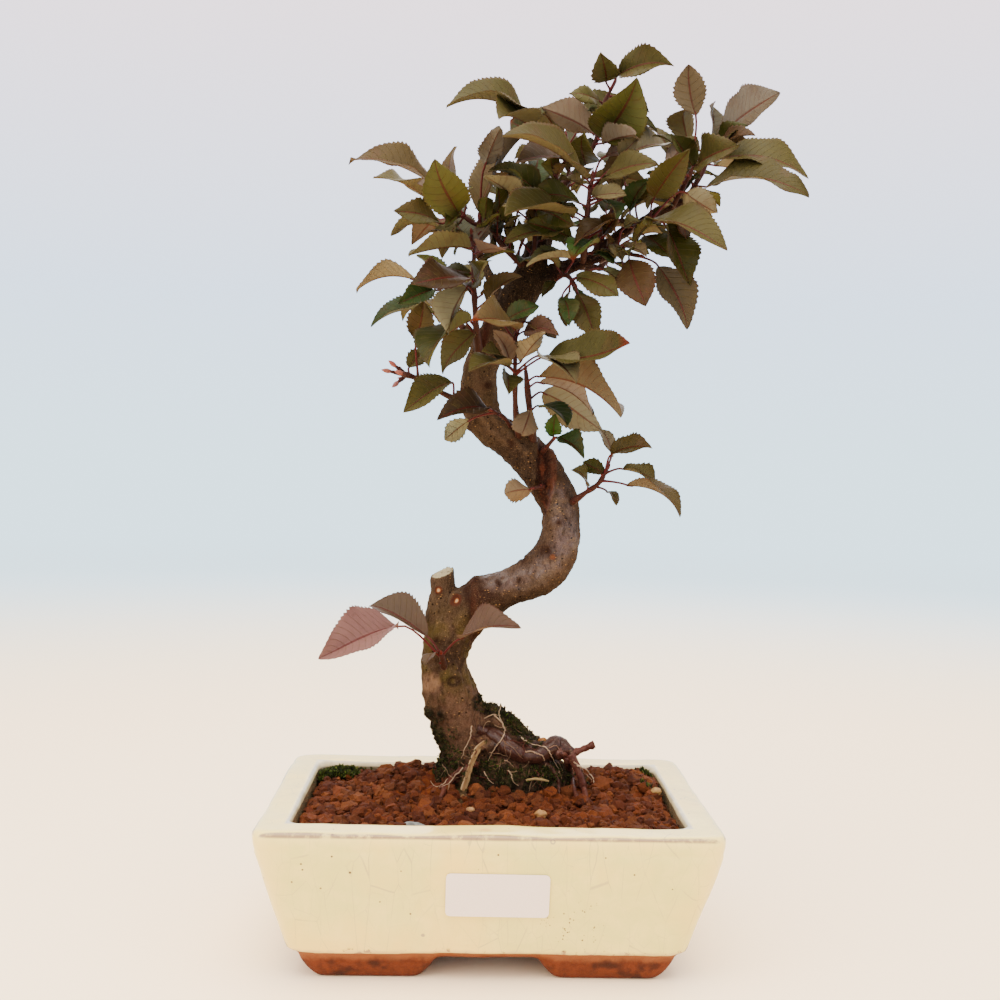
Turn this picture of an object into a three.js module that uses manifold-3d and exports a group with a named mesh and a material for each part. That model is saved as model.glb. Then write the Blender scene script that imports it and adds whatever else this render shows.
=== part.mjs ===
// An apple bonsai in a shallow glazed pot, in millimetres, +Z up.
// Everything is laid out round the middle of the pot. At the end the whole group is moved so that
// the origin is the bottom centre of its own box: the point that it stands over.
//
// Most of the tree is described as it looks from the front: x and z on the plane y = 0 as the eye
// sees them, and the depth y that the point really has. seen() turns that into a place in space.

import * as THREE from 'three';
import { mergeVertices } from 'three/addons/utils/BufferGeometryUtils.js';
import Module from 'manifold-3d';

const wasm = await Module();
wasm.setup();
const { Manifold } = wasm;

// Driving dimensions of the pot.
const POT_LENGTH = 220;
const POT_DEPTH = 155;
const POT_HEIGHT = 74;
const POT_CORNER = 8;
const RIM_SIDE = 15.5;
const RIM_FRONT = 16.7;
const LIP_DROP = 10;
const GLAZE_BOTTOM = 14;
const GLAZE_LENGTH = 191;
const GLAZE_DEPTH = 131;
const BASE_INSET = 4.5;
const FOOT_HEIGHT = 10;
const FLOOR_HEIGHT = 23;
const FLOOR_INSET = 9;
const FOOT = { inner: 24, outer: 89, side: 18, front: 62, slope: 7.5, corner: 3 };
const DRAIN = { x: 48, radius: 9 };
const SCREEN = { side: 26, thickness: 0.9, hole: 8, pitch: 11, holes: 2 };

// The gap between pieces that touch, and the looser one round moss and stones.
const CLEARANCE = 0.3;
const SEAT = 0.45;

// The label on the front wall.
const LABEL = { x: 4, z: 45, width: 48, height: 22, thickness: 0.4, corner: 2, turn: 0.008 };

// Soil, moss and loose stones.
const SOIL = { level: 67.5, cell: 8.6, relief: 1.9, jitter: 2 };
const SOIL_MOUNDS = [
  { x: -40, y: 27, height: 8.5, length: 24, depth: 20 },
  { x: 68, y: 28, height: 8, length: 24, depth: 20 },
  { x: 6, y: 14, height: 6.5, length: 42, depth: 24 },
];
const MOSS = { x: -80, y: 44, radius: 9.5, height: 6 };
const GREY_STONE = { x: -36, y: -52, radius: 5.5 };

// The eye that the front view is measured from, and the depth of the wood at the ground.
const EYE = new THREE.Vector3(-12.3, -640, 244.5);

// The trunk and what is one piece with it: x, z, depth, radius.
const TRUNK = [
  [-8, 56, 18, 12], [-10, 78, 18, 14], [-12, 90, 18, 13.2], [-13, 100, 18, 13.6],
  [-15.7, 110, 17, 14.6], [-18.3, 118, 17, 15.2], [-20.8, 125, 16, 14.6],
  [-23, 132, 15, 13.4], [-24.3, 141, 14, 12.1], [-23.3, 150, 13, 12.6], [-20, 158, 12, 13.4],
  [-12, 168, 10, 13], [-3, 175, 8, 12.3],
  [7.5, 179.5, 7, 9.4], [16.5, 183.5, 6, 10.2], [23.5, 187, 5, 11.4],
  [29, 192, 4, 11.9], [33, 199, 4, 11], [35, 208, 4, 10],
  [35.2, 219, 4, 9.5], [32.2, 228, 4, 10.6], [26.7, 237, 4, 10.8], [19.2, 247, 5, 10.6], [8.5, 256, 6, 9.8],
  [0, 260.5, 6, 9], [-5.5, 266, 7, 9.4], [-8, 274, 7, 9.6], [-9, 283, 7, 9.2], [-8.5, 292, 7, 8.8],
  [-5, 302, 7, 8.8], [2, 315, 6, 9.2], [9.5, 327, 6, 9.6], [15.5, 339, 5, 8.6], [18.5, 350, 5, 6.6],
  [19.2, 357, 5, 5.6],
];
const STUB = [[-24, 150, 13, 11], [-25.5, 165, 12, 9], [-25, 178, 12, 6.6], [-26.2, 192, 12, 6]];
const STUB_CUT = { x: -26.3, z: 187, slope: 0.42, forward: 0.3 };
const ROOTS = [
  [
    [-10, 112, 20, 8], [0, 112, 20, 9], [9, 108, 20, 7.5], [17, 101, 20, 6], [27, 94, 19, 6],
    [40, 82, 18, 5],
  ],
  [
    [-8, 98, 14, 8], [5.5, 98.5, 10, 6.6], [14, 96.5, 8, 7.4], [25, 95.5, 7, 5.6], [36, 95, 7, 4.7],
    [41, 94, 7, 3.6],
  ],
  [[38, 95, 7, 3], [43, 91, 6, 1.9], [47, 84, 5, 1.7], [50, 76, 4, 1.6], [51, 66, 4, 1.4]],
  [[38, 94, 8, 2.4], [43, 94.5, 8, 1.5], [49.5, 96, 8, 1.3], [54, 98.5, 8, 1.7]],
  [[2, 97, 8, 2.6], [-4, 97, 4, 2.2], [-8, 93, 2, 2], [-11.5, 82.5, 1, 2.1], [-14, 68, 0, 1.8]],
  [[-8, 88, 10, 2], [-15, 83, 6, 1.3], [-21, 77.5, 4, 1.1], [-24, 68, 3, 1]],
  [[-14, 104, 19, 10], [-17, 90, 20, 9], [-22, 76, 20, 7], [-26, 62, 20, 5]],
];
const ROOT_BALLS = [
  { x: 14, y: 15, z: 76, size: [33, 16, 19] },
  { x: 2, y: 12, z: 56, size: [54, 30, 20] },
];
const BRANCHES = [
  [
    [16, 336, 5, 6], [30, 344, 5, 4], [47, 349.5, 4, 3.2], [57, 358, 3, 2.9], [66, 366, 2, 2.6],
    [76, 371, 1, 2.3], [90, 378.5, -1, 1.9], [97, 382.5, -2, 1.6],
  ],
  [[18, 335, 4, 5], [32, 342.5, 0, 2.9], [44, 347.5, -4, 2.3], [58, 351.5, -7, 1.9]],
  [[19, 348, 5, 4.4], [23, 368, 2, 2.9], [28, 388, -2, 2.1]],
  [[6, 320, 8, 6], [-2, 335, 22, 3], [-9, 350, 36, 2.1]],
  [[17, 343, 8, 5], [26, 362, 24, 3], [33, 378, 40, 2.1]],
  [[60, 361, 3, 2.6], [72, 368, 18, 2.3], [86, 380, 32, 1.8]],
  [[-6, 294, 8, 6], [-10, 303, 24, 2.6], [-16, 314, 36, 1.9]],
  [[30, 345, 5, 3.6], [42, 346, 18, 2.4], [54, 345, 32, 1.8]],
];

// Leafy shoots that show from the front: name, colour, stems (x, z, depth, radius) and leaves.
// A leaf is its base x, z and tip x, z, how far the tip lies behind the base, the width that shows,
// how high the blade arches, and which side is turned to the front: 1 upper, -1 under.
const SHOOTS = [
  ['low_bud_leaves', 'red', [
    [[-24, 138, 4, 2.6], [-25.5, 145, -6, 1.6]],
  ], [
    [-48, 159, -88.5, 142, -28, 16, 3, 1], [-33, 154, -63, 170.5, 16, 14, 3, 1],
    [-16, 153, 14.5, 160.5, -20, 9, 3, 1], [-28, 146, -34, 139, -8, 4, 1, 1],
  ]],
  ['left_bud_twig', 'olive', [
    [[-10, 272, 5, 2.4], [-28.5, 280, -3, 1.5], [-38.5, 286, -10, 1.2], [-48, 289, -14, 1.6]],
    [[-46, 288.5, -3, 1.2], [-52, 293, -7, 0.8]],
    [[-46, 288.5, -3, 1.2], [-50.5, 284.5, -7, 0.8]],
    [[-46, 288.5, -3, 1.3], [-54.5, 290, -5, 0.8]],
  ], [
    [-41.5, 308, -38, 326, -8, 14, 1, 1], [-45, 292, -37, 301.5, 8, 9, 1, 1],
    [-23, 285, -47, 270.5, -16, 12, 3, 1],
  ]],
  ['left_low_spur', 'dark', [
    [[9, 262, 1, 1.6], [4, 268, -14, 1.1], [-2, 271, -20, 0.9]],
  ], [
    [-4, 272, -30, 266, -16, 12, 4, 1], [-13, 266, -26, 256, -6, 10, 2, -1],
  ]],
  ['front_shoot', 'olive', [
    [[12.5, 254, 2, 1.9], [10, 275, -23, 1.5], [9.5, 293, -30, 1.2], [9.5, 312, -32, 0.9]],
  ], [
    [7, 296, -3, 311.5, -12, 9, 2, -1], [2, 296.5, -7, 302.5, -16, 4, 1, 1],
    [6, 294, -14, 292.5, -24, 4, 2, 1], [4, 291, 6.5, 280, -16, 7, 1, 1],
    [12, 296, 25, 311, -16, 9, 2, -1], [14, 312, 31, 312, -12, 10, 2, 1],
    [9.5, 313, -12, 318, -28, 8, 2, 1], [26, 300, 67.5, 308, -32, 10, -4, 1],
    [22, 299.5, 41, 288, -28, 8, 2, 1], [14, 317, 30.5, 309.5, -8, 6, 1, 1],
    [4, 317, 21, 325.5, -6, 8, 1, 1],
  ]],
  ['grey_shoot', 'tan', [
    [[20, 253, 1, 2.1], [17, 275, -14, 1.7], [15, 292, -18, 1.2]],
  ], [
    [22, 289, 64, 268.5, -36, 8, 6, -1], [22, 286, 50, 269.5, -16, 6, 4, -1],
    [24, 281, 55, 262, 8, 19, 3, -1], [22, 274, 37.5, 265, -20, 8, 2, 1],
    [18, 273, 14, 260, -16, 13, 1, -1],
  ]],
  ['eye_leaves', 'green', [
    [[24, 250, 0, 1.6], [30, 257, -15, 1]],
  ], [
    [30, 259, 31, 270, -6, 9, 1, 1], [32, 258, 46, 249, -12, 9, 2, 1],
  ]],
  ['right_spur', 'olive', [
    [[38, 223, 0, 2], [46, 229, -10, 1.4], [54, 235, -17, 1.3], [58, 242, -19, 1]],
  ], [
    [60.5, 250, 80.5, 254.5, -16, 10, 2, 1], [60, 251, 54, 263, 8, 6, 1, 1],
    [56.5, 240, 45, 246, 4, 8, 1, 1], [48, 234, 41, 242, -12, 5, 1, 1],
    [66, 242.5, 84, 236, 4, 6, 2, 1], [69, 234, 97.5, 220.5, -20, 5, 4, 1],
    [58, 231, 64, 224.5, -6, 4, 1, 1],
  ]],
  ['trunk_leaflet', 'tan', [
    [[26, 233, -3, 1.4], [20, 231.5, -18, 0.9]],
  ], [
    [19, 231, 6, 228.5, -8, 12, 1, -1],
  ]],
  ['left_shoot', 'brown', [
    [
      [-9, 298, 0, 2.2], [-11.5, 320, -17, 1.5], [-12.5, 338, -21, 1.3], [-13, 355, -21, 1.1],
      [-14, 361, -21, 0.9],
    ],
  ], [
    [-14, 354, -46, 348.5, -20, 6, 2, -1], [-42, 337, -72.5, 330.5, 4, 6, 5, -1],
    [-15, 338.5, -43.5, 336, -32, 9, 2, 1], [-14, 341, -32.5, 340, 8, 6, 2, 1],
    [-33, 332, -51, 325, -12, 10, 2, 1], [-16, 334, -25, 310, -24, 14, 1, -1],
    [-14, 317, -35.5, 294.5, -32, 8, 3, 1], [-6, 327, 11, 341, -12, 8, 2, 1],
    [-11, 337, -6, 347, -20, 8, 1, 1], [-10, 352, 3, 353, -24, 6, 1, -1],
    [-12, 356, -4, 366, -6, 7, 1, -1], [-10, 312, -28.5, 290, 4, 13, 2, 1],
    [-16, 357, -28, 372, 20, 12, 1, 1],
  ]],
  ['upper_left_shoot', 'gold', [
    [
      [14, 345, 3, 2.2], [5, 352, -10, 1.6], [-4, 362, -16, 1.3], [-14, 367, -20, 1.1],
      [-24, 374, -22, 0.9],
    ],
  ], [
    [-21, 371, -34, 398, -20, 21, 3, 1], [-10.5, 372, 12, 414, 8, 10, 3, 1],
    [8, 379, -8, 390, -24, 8, 1, -1], [-1, 373, -1, 385, -18, 8, 1, 1],
    [-9, 363, 2, 377, -28, 9, 1, 1], [-30.5, 366, -53.5, 372, -12, 9, 2, 1],
    [-33, 385, -76.5, 398.5, -4, 9, 4, 1], [-27, 372, -42.5, 386, 20, 8, 2, -1],
    [-8, 396, 0, 415, -16, 12, 1, -1], [13, 362, 4, 358.5, -10, 6, 1, 1],
    [-6, 367, -4, 355.5, -12, 6, 1, 1], [-20, 368, -30, 351, -10, 8, 2, 1],
  ]],
  ['top_left_shoot', 'dark', [
    [[22, 362, 3, 2.1], [27, 382, -20, 1.6], [28, 398, -20, 1.3], [22, 410, -20, 0.9]],
  ], [
    [12.5, 421, -28, 427, -20, 9, 6, 1], [13, 418, -1, 421, -32, 6, 1, 1],
    [21, 409, 4, 418, 12, 12, 2, 1], [33, 400, 8.5, 399.5, -28, 6, 2, 1],
    [20, 382, -5, 395, -8, 9, 2, 1], [24, 366, 14, 364, -16, 6, 1, 1],
  ]],
  ['top_shoot', 'olive', [
    [
      [29, 384, -2, 2.2], [40, 396, 2, 1.7], [49, 411, -4, 1.4], [52, 428, -4, 1.1],
      [57, 439, -4, 0.8],
    ],
  ], [
    [48, 413, 20, 426, 16, 14, 2, -1], [52, 411, 69, 442, -24, 25, 2, 1],
    [50, 430, 34.5, 434, -8, 8, 2, 1], [53, 440, 50, 454, -12, 14, 1, 1],
    [60, 444, 87, 450, -16, 14, 4, 1], [43.5, 398, 41, 412, -24, 18, 1, 1],
    [56, 419, 80, 416, 4, 8, 3, 1], [53, 409, 68, 413, -28, 9, 1, -1],
  ]],
  ['middle_shoot', 'dark', [
    [[43, 345, -2, 1.9], [44.5, 363, -17, 1.5], [45.5, 380, -21, 1.2], [47, 392, -21, 0.9]],
  ], [
    [43, 389, 1, 407, -28, 10, 4, 1], [52.5, 391, 80, 400, -16, 10, 2, 1],
    [54, 403, 72, 407, 4, 7, 1, 1], [62, 385, 66, 397, 8, 6, 1, 1],
    [66, 404, 86, 408, 24, 12, 2, 1], [50, 358, 38, 351, -20, 8, 1, 1],
    [41, 378, 14, 381, -8, 9, 3, 1], [38, 371, 3, 372.5, -32, 8, 2, 1],
    [54, 362, 62, 374, -12, 7, 1, 1], [37, 360, 14, 368, -12, 12, 2, 1],
    [61, 369.5, 38, 357, -10, 6, 2, 1], [47.5, 381.5, 64, 384, -14, 8, 1, 1],
    [54, 380, 60, 371, -12, 7, 1, 1], [50, 385, 60, 392.5, -10, 6, 2, 1],
    [61, 401, 70, 412, -8, 7, 1, 1], [33, 361, 3, 357, -8, 5, 3, 1],
    [19, 374, 37, 367, -12, 11, 1, 1],
  ]],
  ['right_upper_shoot', 'brown', [
    [[88, 376, 0, 1.7], [94, 388, -10, 1.2], [98, 396.5, -13, 1], [99, 410, -10, 0.8]],
  ], [
    [85, 399, 95, 409, -4, 10, 1, -1], [98, 398.5, 88, 414, -14, 10, 1, 1],
    [101, 399, 120, 410, -32, 12, 2, 1], [99.5, 424, 95, 450, -10, 16, -2, 1],
    [95, 394, 75, 377, -10, 8, 2, 1],
  ]],
  ['right_outer_shoot', 'olive', [
    [[95, 380, 0, 1.7], [104.5, 398, 6, 1.3], [108, 410, 6, 0.9]],
  ], [
    [108, 413, 107, 430, 12, 9, 1, 1], [110, 412, 142.5, 437, 20, 14, 2, -1],
    [112, 413, 125, 421, -8, 8, 1, 1], [113, 410, 130, 416, -16, 7, 1, 1],
    [106, 400, 158.5, 394, -12, 12, 7, 1], [110, 399, 134, 393, 20, 7, 2, -1],
    [106, 388, 159, 385.5, -28, 11, 7, 1],
  ]],
  ['right_branch_spur', 'green', [
    [[68, 365, 2, 1.9], [73, 369, -15, 1.2], [82, 371, -21, 0.9]],
  ], [
    [95, 385, 112, 374.5, 8, 14, 1, -1], [70, 378, 75, 392, -4, 8, 1, 1],
    [74, 370, 117.5, 356.5, -28, 8, 5, 1], [91, 372, 96, 361, -6, 6, 1, 1],
    [85, 368, 98.5, 337.5, -8, 12, 2, 1], [75, 362, 88, 353, -20, 10, 1, 1],
    [67, 375, 76, 391, -12, 9, 1, 1], [78, 380, 93, 401, -14, 15, 1, 1],
  ]],
  ['right_low_shoot', 'brown', [
    [[52, 349, -5, 1.8], [62, 353, -16, 1.2], [72, 352, -22, 0.9]],
  ], [
    [64, 347, 72, 331, -4, 8, 1, 1], [67, 350, 76, 327.5, -18, 19, 1, 1],
    [82, 347, 98.5, 315.5, -4, 17, 2, 1], [58, 358, 63.5, 349.5, -8, 6, 1, 1],
    [64, 356.5, 76, 352.5, -10, 5, 1, 1], [64, 366, 72, 370.5, -4, 5, 1, 1],
  ]],
  ['lower_spur', 'green', [
    [[31, 341, 0, 1.7], [36, 340.5, -15, 1.1], [39, 337, -19, 0.9]],
  ], [
    [40, 340, 62, 331.5, -16, 11, 2, 1], [41, 332, 50, 310, -8, 15, 1, 1],
    [33, 330, 37, 317, -12, 10, 1, 1], [38, 350, 14, 346, -12, 5, 2, 1],
    [54, 345, 67, 335, -8, 7, 1, 1],
  ]],
];

// Shoots at the back and inside the crown: name, colour, stem (x, y, z as they really are, and
// radius), the number of leaves, which stand round the stem by one rule, and their length.
const RULED_SHOOTS = [
  ['rear_left_shoot', 'brown', [[-9, 34, 355, 2.2], [-20, 44, 370, 1.4], [-30, 48, 380, 0.9]], 5, 36],
  ['rear_top_shoot', 'olive', [[34, 38, 383, 2.2], [38, 42, 402, 1.4], [36, 40, 422, 0.9]], 6, 36],
  ['rear_right_shoot', 'dark', [[89, 30, 386, 2], [98, 38, 398, 1.3], [103, 40, 409, 0.9]], 5, 34],
  ['rear_low_left_shoot', 'green', [[-17, 34, 316, 2], [-24, 42, 324, 1.3], [-30, 46, 334, 0.9]], 5, 31],
  ['rear_low_right_shoot', 'green', [[55, 30, 350, 2], [62, 38, 360, 1.3], [66, 42, 370, 0.9]], 5, 30],
  ['rear_middle_shoot', 'dark', [[32, 36, 381, 2.2], [26, 52, 384, 1.4], [20, 60, 390, 0.9]], 5, 36],
  ['inner_shoot', 'dark', [[15, 2, 342, 2.4], [18, -8, 356, 1.5], [15, -10, 374, 0.9]], 6, 34],
  ['inner_right_shoot', 'olive', [[50, 3, 352, 2.2], [56, 6, 372, 1.4], [66, 10, 388, 0.9]], 5, 34],
];

const COLOURS = {
  olive: 0x6b6440,
  dark: 0x4a4a36,
  green: 0x5f6b3c,
  gold: 0x7d6d3c,
  brown: 0x6e5440,
  tan: 0x9a8468,
  red: 0x84525a,
};

// A stream of numbers from 0 to 1 that is the same on every run.
function randomStream(seed) {
  let state = seed >>> 0;
  return () => {
    state = (Math.imul(state, 1664525) + 1013904223) >>> 0;
    return state / 4294967296;
  };
}

// The place in space that covers (x, z) of the plane y = 0 as seen by the eye, at depth y.
function seen(x, z, y) {
  const scale = (y - EYE.y) / -EYE.y;
  return new THREE.Vector3(EYE.x + (x - EYE.x) * scale, y, EYE.z + (z - EYE.z) * scale);
}

// Closed geometry from points and triangles.
function closedGeometry(points, faces) {
  const geometry = new THREE.BufferGeometry();
  const places = points.flatMap((p) => [p.x, p.y, p.z]);
  geometry.setAttribute('position', new THREE.Float32BufferAttribute(places, 3));
  geometry.setIndex(faces.flat());
  return geometry;
}

// A closed three.js geometry as a solid that can be joined and cut.
function toSolid(source) {
  let geometry = source.clone();
  geometry.deleteAttribute('normal');
  geometry.deleteAttribute('uv');
  geometry = mergeVertices(geometry, 1e-4);
  return new Manifold(new wasm.Mesh({
    numProp: 3,
    vertProperties: new Float32Array(geometry.attributes.position.array),
    triVerts: new Uint32Array(geometry.index.array),
  }));
}

function join(solids) {
  return solids.reduce((sum, solid) => sum.add(solid));
}

// A surface through rings of equal length, closed by a fan at each end.
function loft(rings) {
  const sides = rings[0].length;
  const points = rings.flat();
  const faces = [];
  for (let i = 0; i + 1 < rings.length; i += 1) {
    for (let j = 0; j < sides; j += 1) {
      const a = i * sides + j;
      const b = i * sides + ((j + 1) % sides);
      faces.push([a, b, b + sides], [a, b + sides, a + sides]);
    }
  }
  const ends = [rings[0], rings[rings.length - 1]].map((ring) => (
    ring.reduce((sum, p) => sum.add(p), new THREE.Vector3()).divideScalar(sides)
  ));
  const last = (rings.length - 1) * sides;
  for (let j = 0; j < sides; j += 1) {
    const k = (j + 1) % sides;
    faces.push([points.length, k, j], [points.length + 1, last + j, last + k]);
  }
  return closedGeometry([...points, ...ends], faces);
}

// A tapering round limb through stations { at, radius }, one ring at each.
function limb(stations, sides) {
  const places = stations.map((s) => s.at);
  const side = new THREE.Vector3();
  const rings = stations.map(({ at, radius }, i) => {
    const before = places[Math.max(i - 1, 0)];
    const after = places[Math.min(i + 1, places.length - 1)];
    const along = after.clone().sub(before).normalize();
    if (i === 0) side.set(Math.abs(along.x) < 0.8 ? 1 : 0, Math.abs(along.x) < 0.8 ? 0 : 1, 0);
    side.addScaledVector(along, -side.dot(along)).normalize();
    const up = along.clone().cross(side);
    return Array.from({ length: sides }, (_, j) => {
      const turn = (j / sides) * 2 * Math.PI;
      return at.clone()
        .addScaledVector(side, Math.cos(turn) * radius)
        .addScaledVector(up, Math.sin(turn) * radius);
    });
  });
  return toSolid(loft(rings));
}

// Stations from rows of x, z, depth and radius as seen from the front.
function seenStations(rows, grow = 0) {
  return rows.map(([x, z, y, radius]) => ({ at: seen(x, z, y), radius: radius + grow }));
}

// A rectangle with rounded corners in a level plane.
function roundedRing(halfX, halfY, corner, z, steps = 3) {
  const ring = [];
  for (let quarter = 0; quarter < 4; quarter += 1) {
    const sx = quarter === 0 || quarter === 3 ? 1 : -1;
    const sy = quarter < 2 ? 1 : -1;
    for (let i = 0; i <= steps; i += 1) {
      const turn = ((quarter + i / steps) * Math.PI) / 2;
      const x = sx * (halfX - corner) + corner * Math.cos(turn);
      const y = sy * (halfY - corner) + corner * Math.sin(turn);
      ring.push(new THREE.Vector3(x, y, z));
    }
  }
  return ring;
}

function cylinder(radius, bottom, top, x, y, sides = 16) {
  const geometry = new THREE.CylinderGeometry(radius, radius, top - bottom, sides);
  geometry.rotateX(Math.PI / 2).translate(x, y, (top + bottom) / 2);
  return toSolid(geometry);
}

// The inside of the pot at its mouth and its floor, shrunk by a gap.
function cavityRings(gap, top) {
  const mouth = [POT_LENGTH / 2 - RIM_SIDE, POT_DEPTH / 2 - RIM_FRONT];
  return [
    roundedRing(mouth[0] - FLOOR_INSET - 3 - gap, mouth[1] - FLOOR_INSET - 3 - gap, 8, FLOOR_HEIGHT + gap),
    roundedRing(mouth[0] - FLOOR_INSET - gap, mouth[1] - FLOOR_INSET - gap, 8, FLOOR_HEIGHT + 4 + gap),
    roundedRing(mouth[0] - gap, mouth[1] - gap, 7, top),
  ];
}

// The pot is one fired piece: a glazed body on a bare clay base with four sloping corner feet.
function buildPot() {
  const half = [POT_LENGTH / 2, POT_DEPTH / 2];
  const glaze = [GLAZE_LENGTH / 2, GLAZE_DEPTH / 2];
  const lip = POT_HEIGHT - LIP_DROP;
  const outside = [
    roundedRing(glaze[0] - BASE_INSET - 2, glaze[1] - BASE_INSET - 2, POT_CORNER, FOOT_HEIGHT),
    roundedRing(glaze[0] - BASE_INSET, glaze[1] - BASE_INSET, POT_CORNER, GLAZE_BOTTOM - 0.6),
    roundedRing(glaze[0] - 1.5, glaze[1] - 1.5, POT_CORNER, GLAZE_BOTTOM),
    roundedRing(glaze[0] + 0.6, glaze[1] + 0.5, POT_CORNER, GLAZE_BOTTOM + 3),
    roundedRing(half[0] - 0.8, half[1] - 0.8, POT_CORNER, lip),
    roundedRing(half[0], half[1], POT_CORNER, POT_HEIGHT - 1.5),
    roundedRing(half[0] - 1.2, half[1] - 1.2, POT_CORNER, POT_HEIGHT),
  ];
  const [floor, bend, mouth] = cavityRings(0, POT_HEIGHT);
  let pot = toSolid(loft([...outside, mouth, bend, floor]));
  const length = (FOOT.outer - FOOT.inner) / 2;
  const depth = (FOOT.front - FOOT.side) / 2;
  const middle = [(FOOT.outer + FOOT.inner) / 2, (FOOT.front + FOOT.side) / 2];
  for (const sx of [-1, 1]) {
    for (const sy of [-1, 1]) {
      const foot = loft([
        roundedRing(length - FOOT.slope, depth - FOOT.slope * 0.6, FOOT.corner, 0, 1),
        roundedRing(length - FOOT.slope * 0.4, depth - FOOT.slope * 0.25, FOOT.corner, FOOT_HEIGHT / 2, 1),
        roundedRing(length, depth, FOOT.corner, FOOT_HEIGHT, 1),
        roundedRing(length, depth, FOOT.corner, FOOT_HEIGHT + 2, 1),
      ]);
      pot = pot.add(toSolid(foot.translate(sx * middle[0], sy * middle[1], 0)));
    }
  }
  for (const sx of [-1, 1]) {
    pot = pot.subtract(cylinder(DRAIN.radius, 0, FLOOR_HEIGHT + 5, sx * DRAIN.x, 0));
  }
  return pot;
}

// A square of plastic net over a drain hole.
function buildScreen(x) {
  const box = new THREE.BoxGeometry(SCREEN.side, SCREEN.side, SCREEN.thickness);
  const z = FLOOR_HEIGHT + CLEARANCE + SCREEN.thickness / 2;
  let screen = toSolid(box.translate(x, 0, z));
  const start = (-(SCREEN.holes - 1) / 2) * SCREEN.pitch;
  for (let i = 0; i < SCREEN.holes; i += 1) {
    for (let j = 0; j < SCREEN.holes; j += 1) {
      const hole = new THREE.BoxGeometry(SCREEN.hole, SCREEN.hole, SCREEN.thickness * 4);
      hole.translate(x + start + i * SCREEN.pitch, start + j * SCREEN.pitch, z);
      screen = screen.subtract(toSolid(hole));
    }
  }
  return screen;
}

// The height of the soil before its grains: a little under the rim, heaped up beside the tree.
function soilHeight(x, y) {
  return SOIL_MOUNDS.reduce((sum, m) => (
    sum + m.height * Math.exp(-(((x - m.x) / m.length) ** 2) - ((y - m.y) / m.depth) ** 2)
  ), SOIL.level);
}

// The soil fills the pot. Its top is a relief of coarse grains.
function buildSoil(holes) {
  const random = randomStream(11);
  const nx = Math.round((POT_LENGTH - 2 * RIM_SIDE + 8) / SOIL.cell);
  const ny = Math.round((POT_DEPTH - 2 * RIM_FRONT + 8) / SOIL.cell);
  const bottom = FLOOR_HEIGHT - 10;
  const block = new THREE.BoxGeometry(nx * SOIL.cell, ny * SOIL.cell, 40, nx, ny, 1);
  const place = block.attributes.position;
  const tops = new Map();
  for (let i = 0; i < place.count; i += 1) {
    const [x, y, z] = [place.getX(i), place.getY(i), place.getZ(i)];
    if (z < 0) {
      place.setZ(i, bottom);
    } else {
      const column = Math.round(x / SOIL.cell + nx / 2);
      const row = Math.round(y / SOIL.cell + ny / 2);
      const key = column * 100 + row;
      if (!tops.has(key)) {
        const peak = (column + row) % 2 === 0 ? 1 : -1;
        const inner = column > 0 && column < nx && row > 0 && row < ny ? SOIL.jitter : 0;
        const shift = [0, 1].map(() => (random() - 0.5) * 2 * inner);
        tops.set(key, [shift[0], shift[1], peak * SOIL.relief * (0.5 + random())]);
      }
      const [dx, dy, dz] = tops.get(key);
      place.setXYZ(i, x + dx, y + dy, soilHeight(x, y) + dz);
    }
  }
  let soil = toSolid(block).intersect(toSolid(loft(cavityRings(CLEARANCE, POT_HEIGHT + 20))));
  const floorNet = SCREEN.side + 2 * CLEARANCE;
  for (const sx of [-1, 1]) {
    const recess = new THREE.BoxGeometry(floorNet, floorNet, 2 * (SCREEN.thickness + CLEARANCE));
    soil = soil.subtract(toSolid(recess.translate(sx * DRAIN.x, 0, FLOOR_HEIGHT + CLEARANCE)));
  }
  for (const hole of holes) soil = soil.subtract(hole);
  return soil;
}

// A rough ball, for root mass, moss and stones. Its poles stand up.
function lump(centre, size, across, roughness, seed) {
  const random = randomStream(seed);
  const sphere = new THREE.SphereGeometry(1, across, Math.round(across * 0.6)).rotateX(Math.PI / 2);
  sphere.deleteAttribute('normal');
  sphere.deleteAttribute('uv');
  const geometry = mergeVertices(sphere, 1e-3);
  const place = geometry.attributes.position;
  for (let i = 0; i < place.count; i += 1) {
    const reach = 1 + (random() - 0.5) * roughness;
    const [x, y, z] = [place.getX(i), place.getY(i), place.getZ(i)];
    place.setXYZ(i, x * size[0] * reach, y * size[1] * reach, z * size[2] * reach);
  }
  return toSolid(geometry.translate(centre.x, centre.y, centre.z));
}

// Trunk, sawn stub, roots, root ball and woody branches, which grew as one piece.
function buildTrunk(grow) {
  let stub = limb(seenStations(STUB, grow), 10);
  const cut = seen(STUB_CUT.x, STUB_CUT.z, STUB[3][2]);
  const down = new THREE.Vector3(STUB_CUT.slope, STUB_CUT.forward, -1).normalize();
  stub = stub.trimByPlane(down.toArray(), down.dot(cut) - grow);
  const roots = ROOTS.map((rows) => limb(seenStations(rows, grow), rows[0][3] > 4 ? 6 : 4));
  const branches = BRANCHES.map((rows) => limb(seenStations(rows, grow), 4));
  const balls = ROOT_BALLS.map((ball, i) => (
    lump(ball, ball.size.map((s) => s + grow), 8, 0.1, 31 + i)
  ));
  return join([limb(seenStations(TRUNK, grow), 11), stub, ...roots, ...branches, ...balls]);
}

// The half width of a leaf blade along its length, as a share of the widest.
function bladeShare(u) {
  return Math.sin(Math.PI * u ** 0.84) ** 0.85 * (1 - 0.35 * u ** 5);
}

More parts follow.
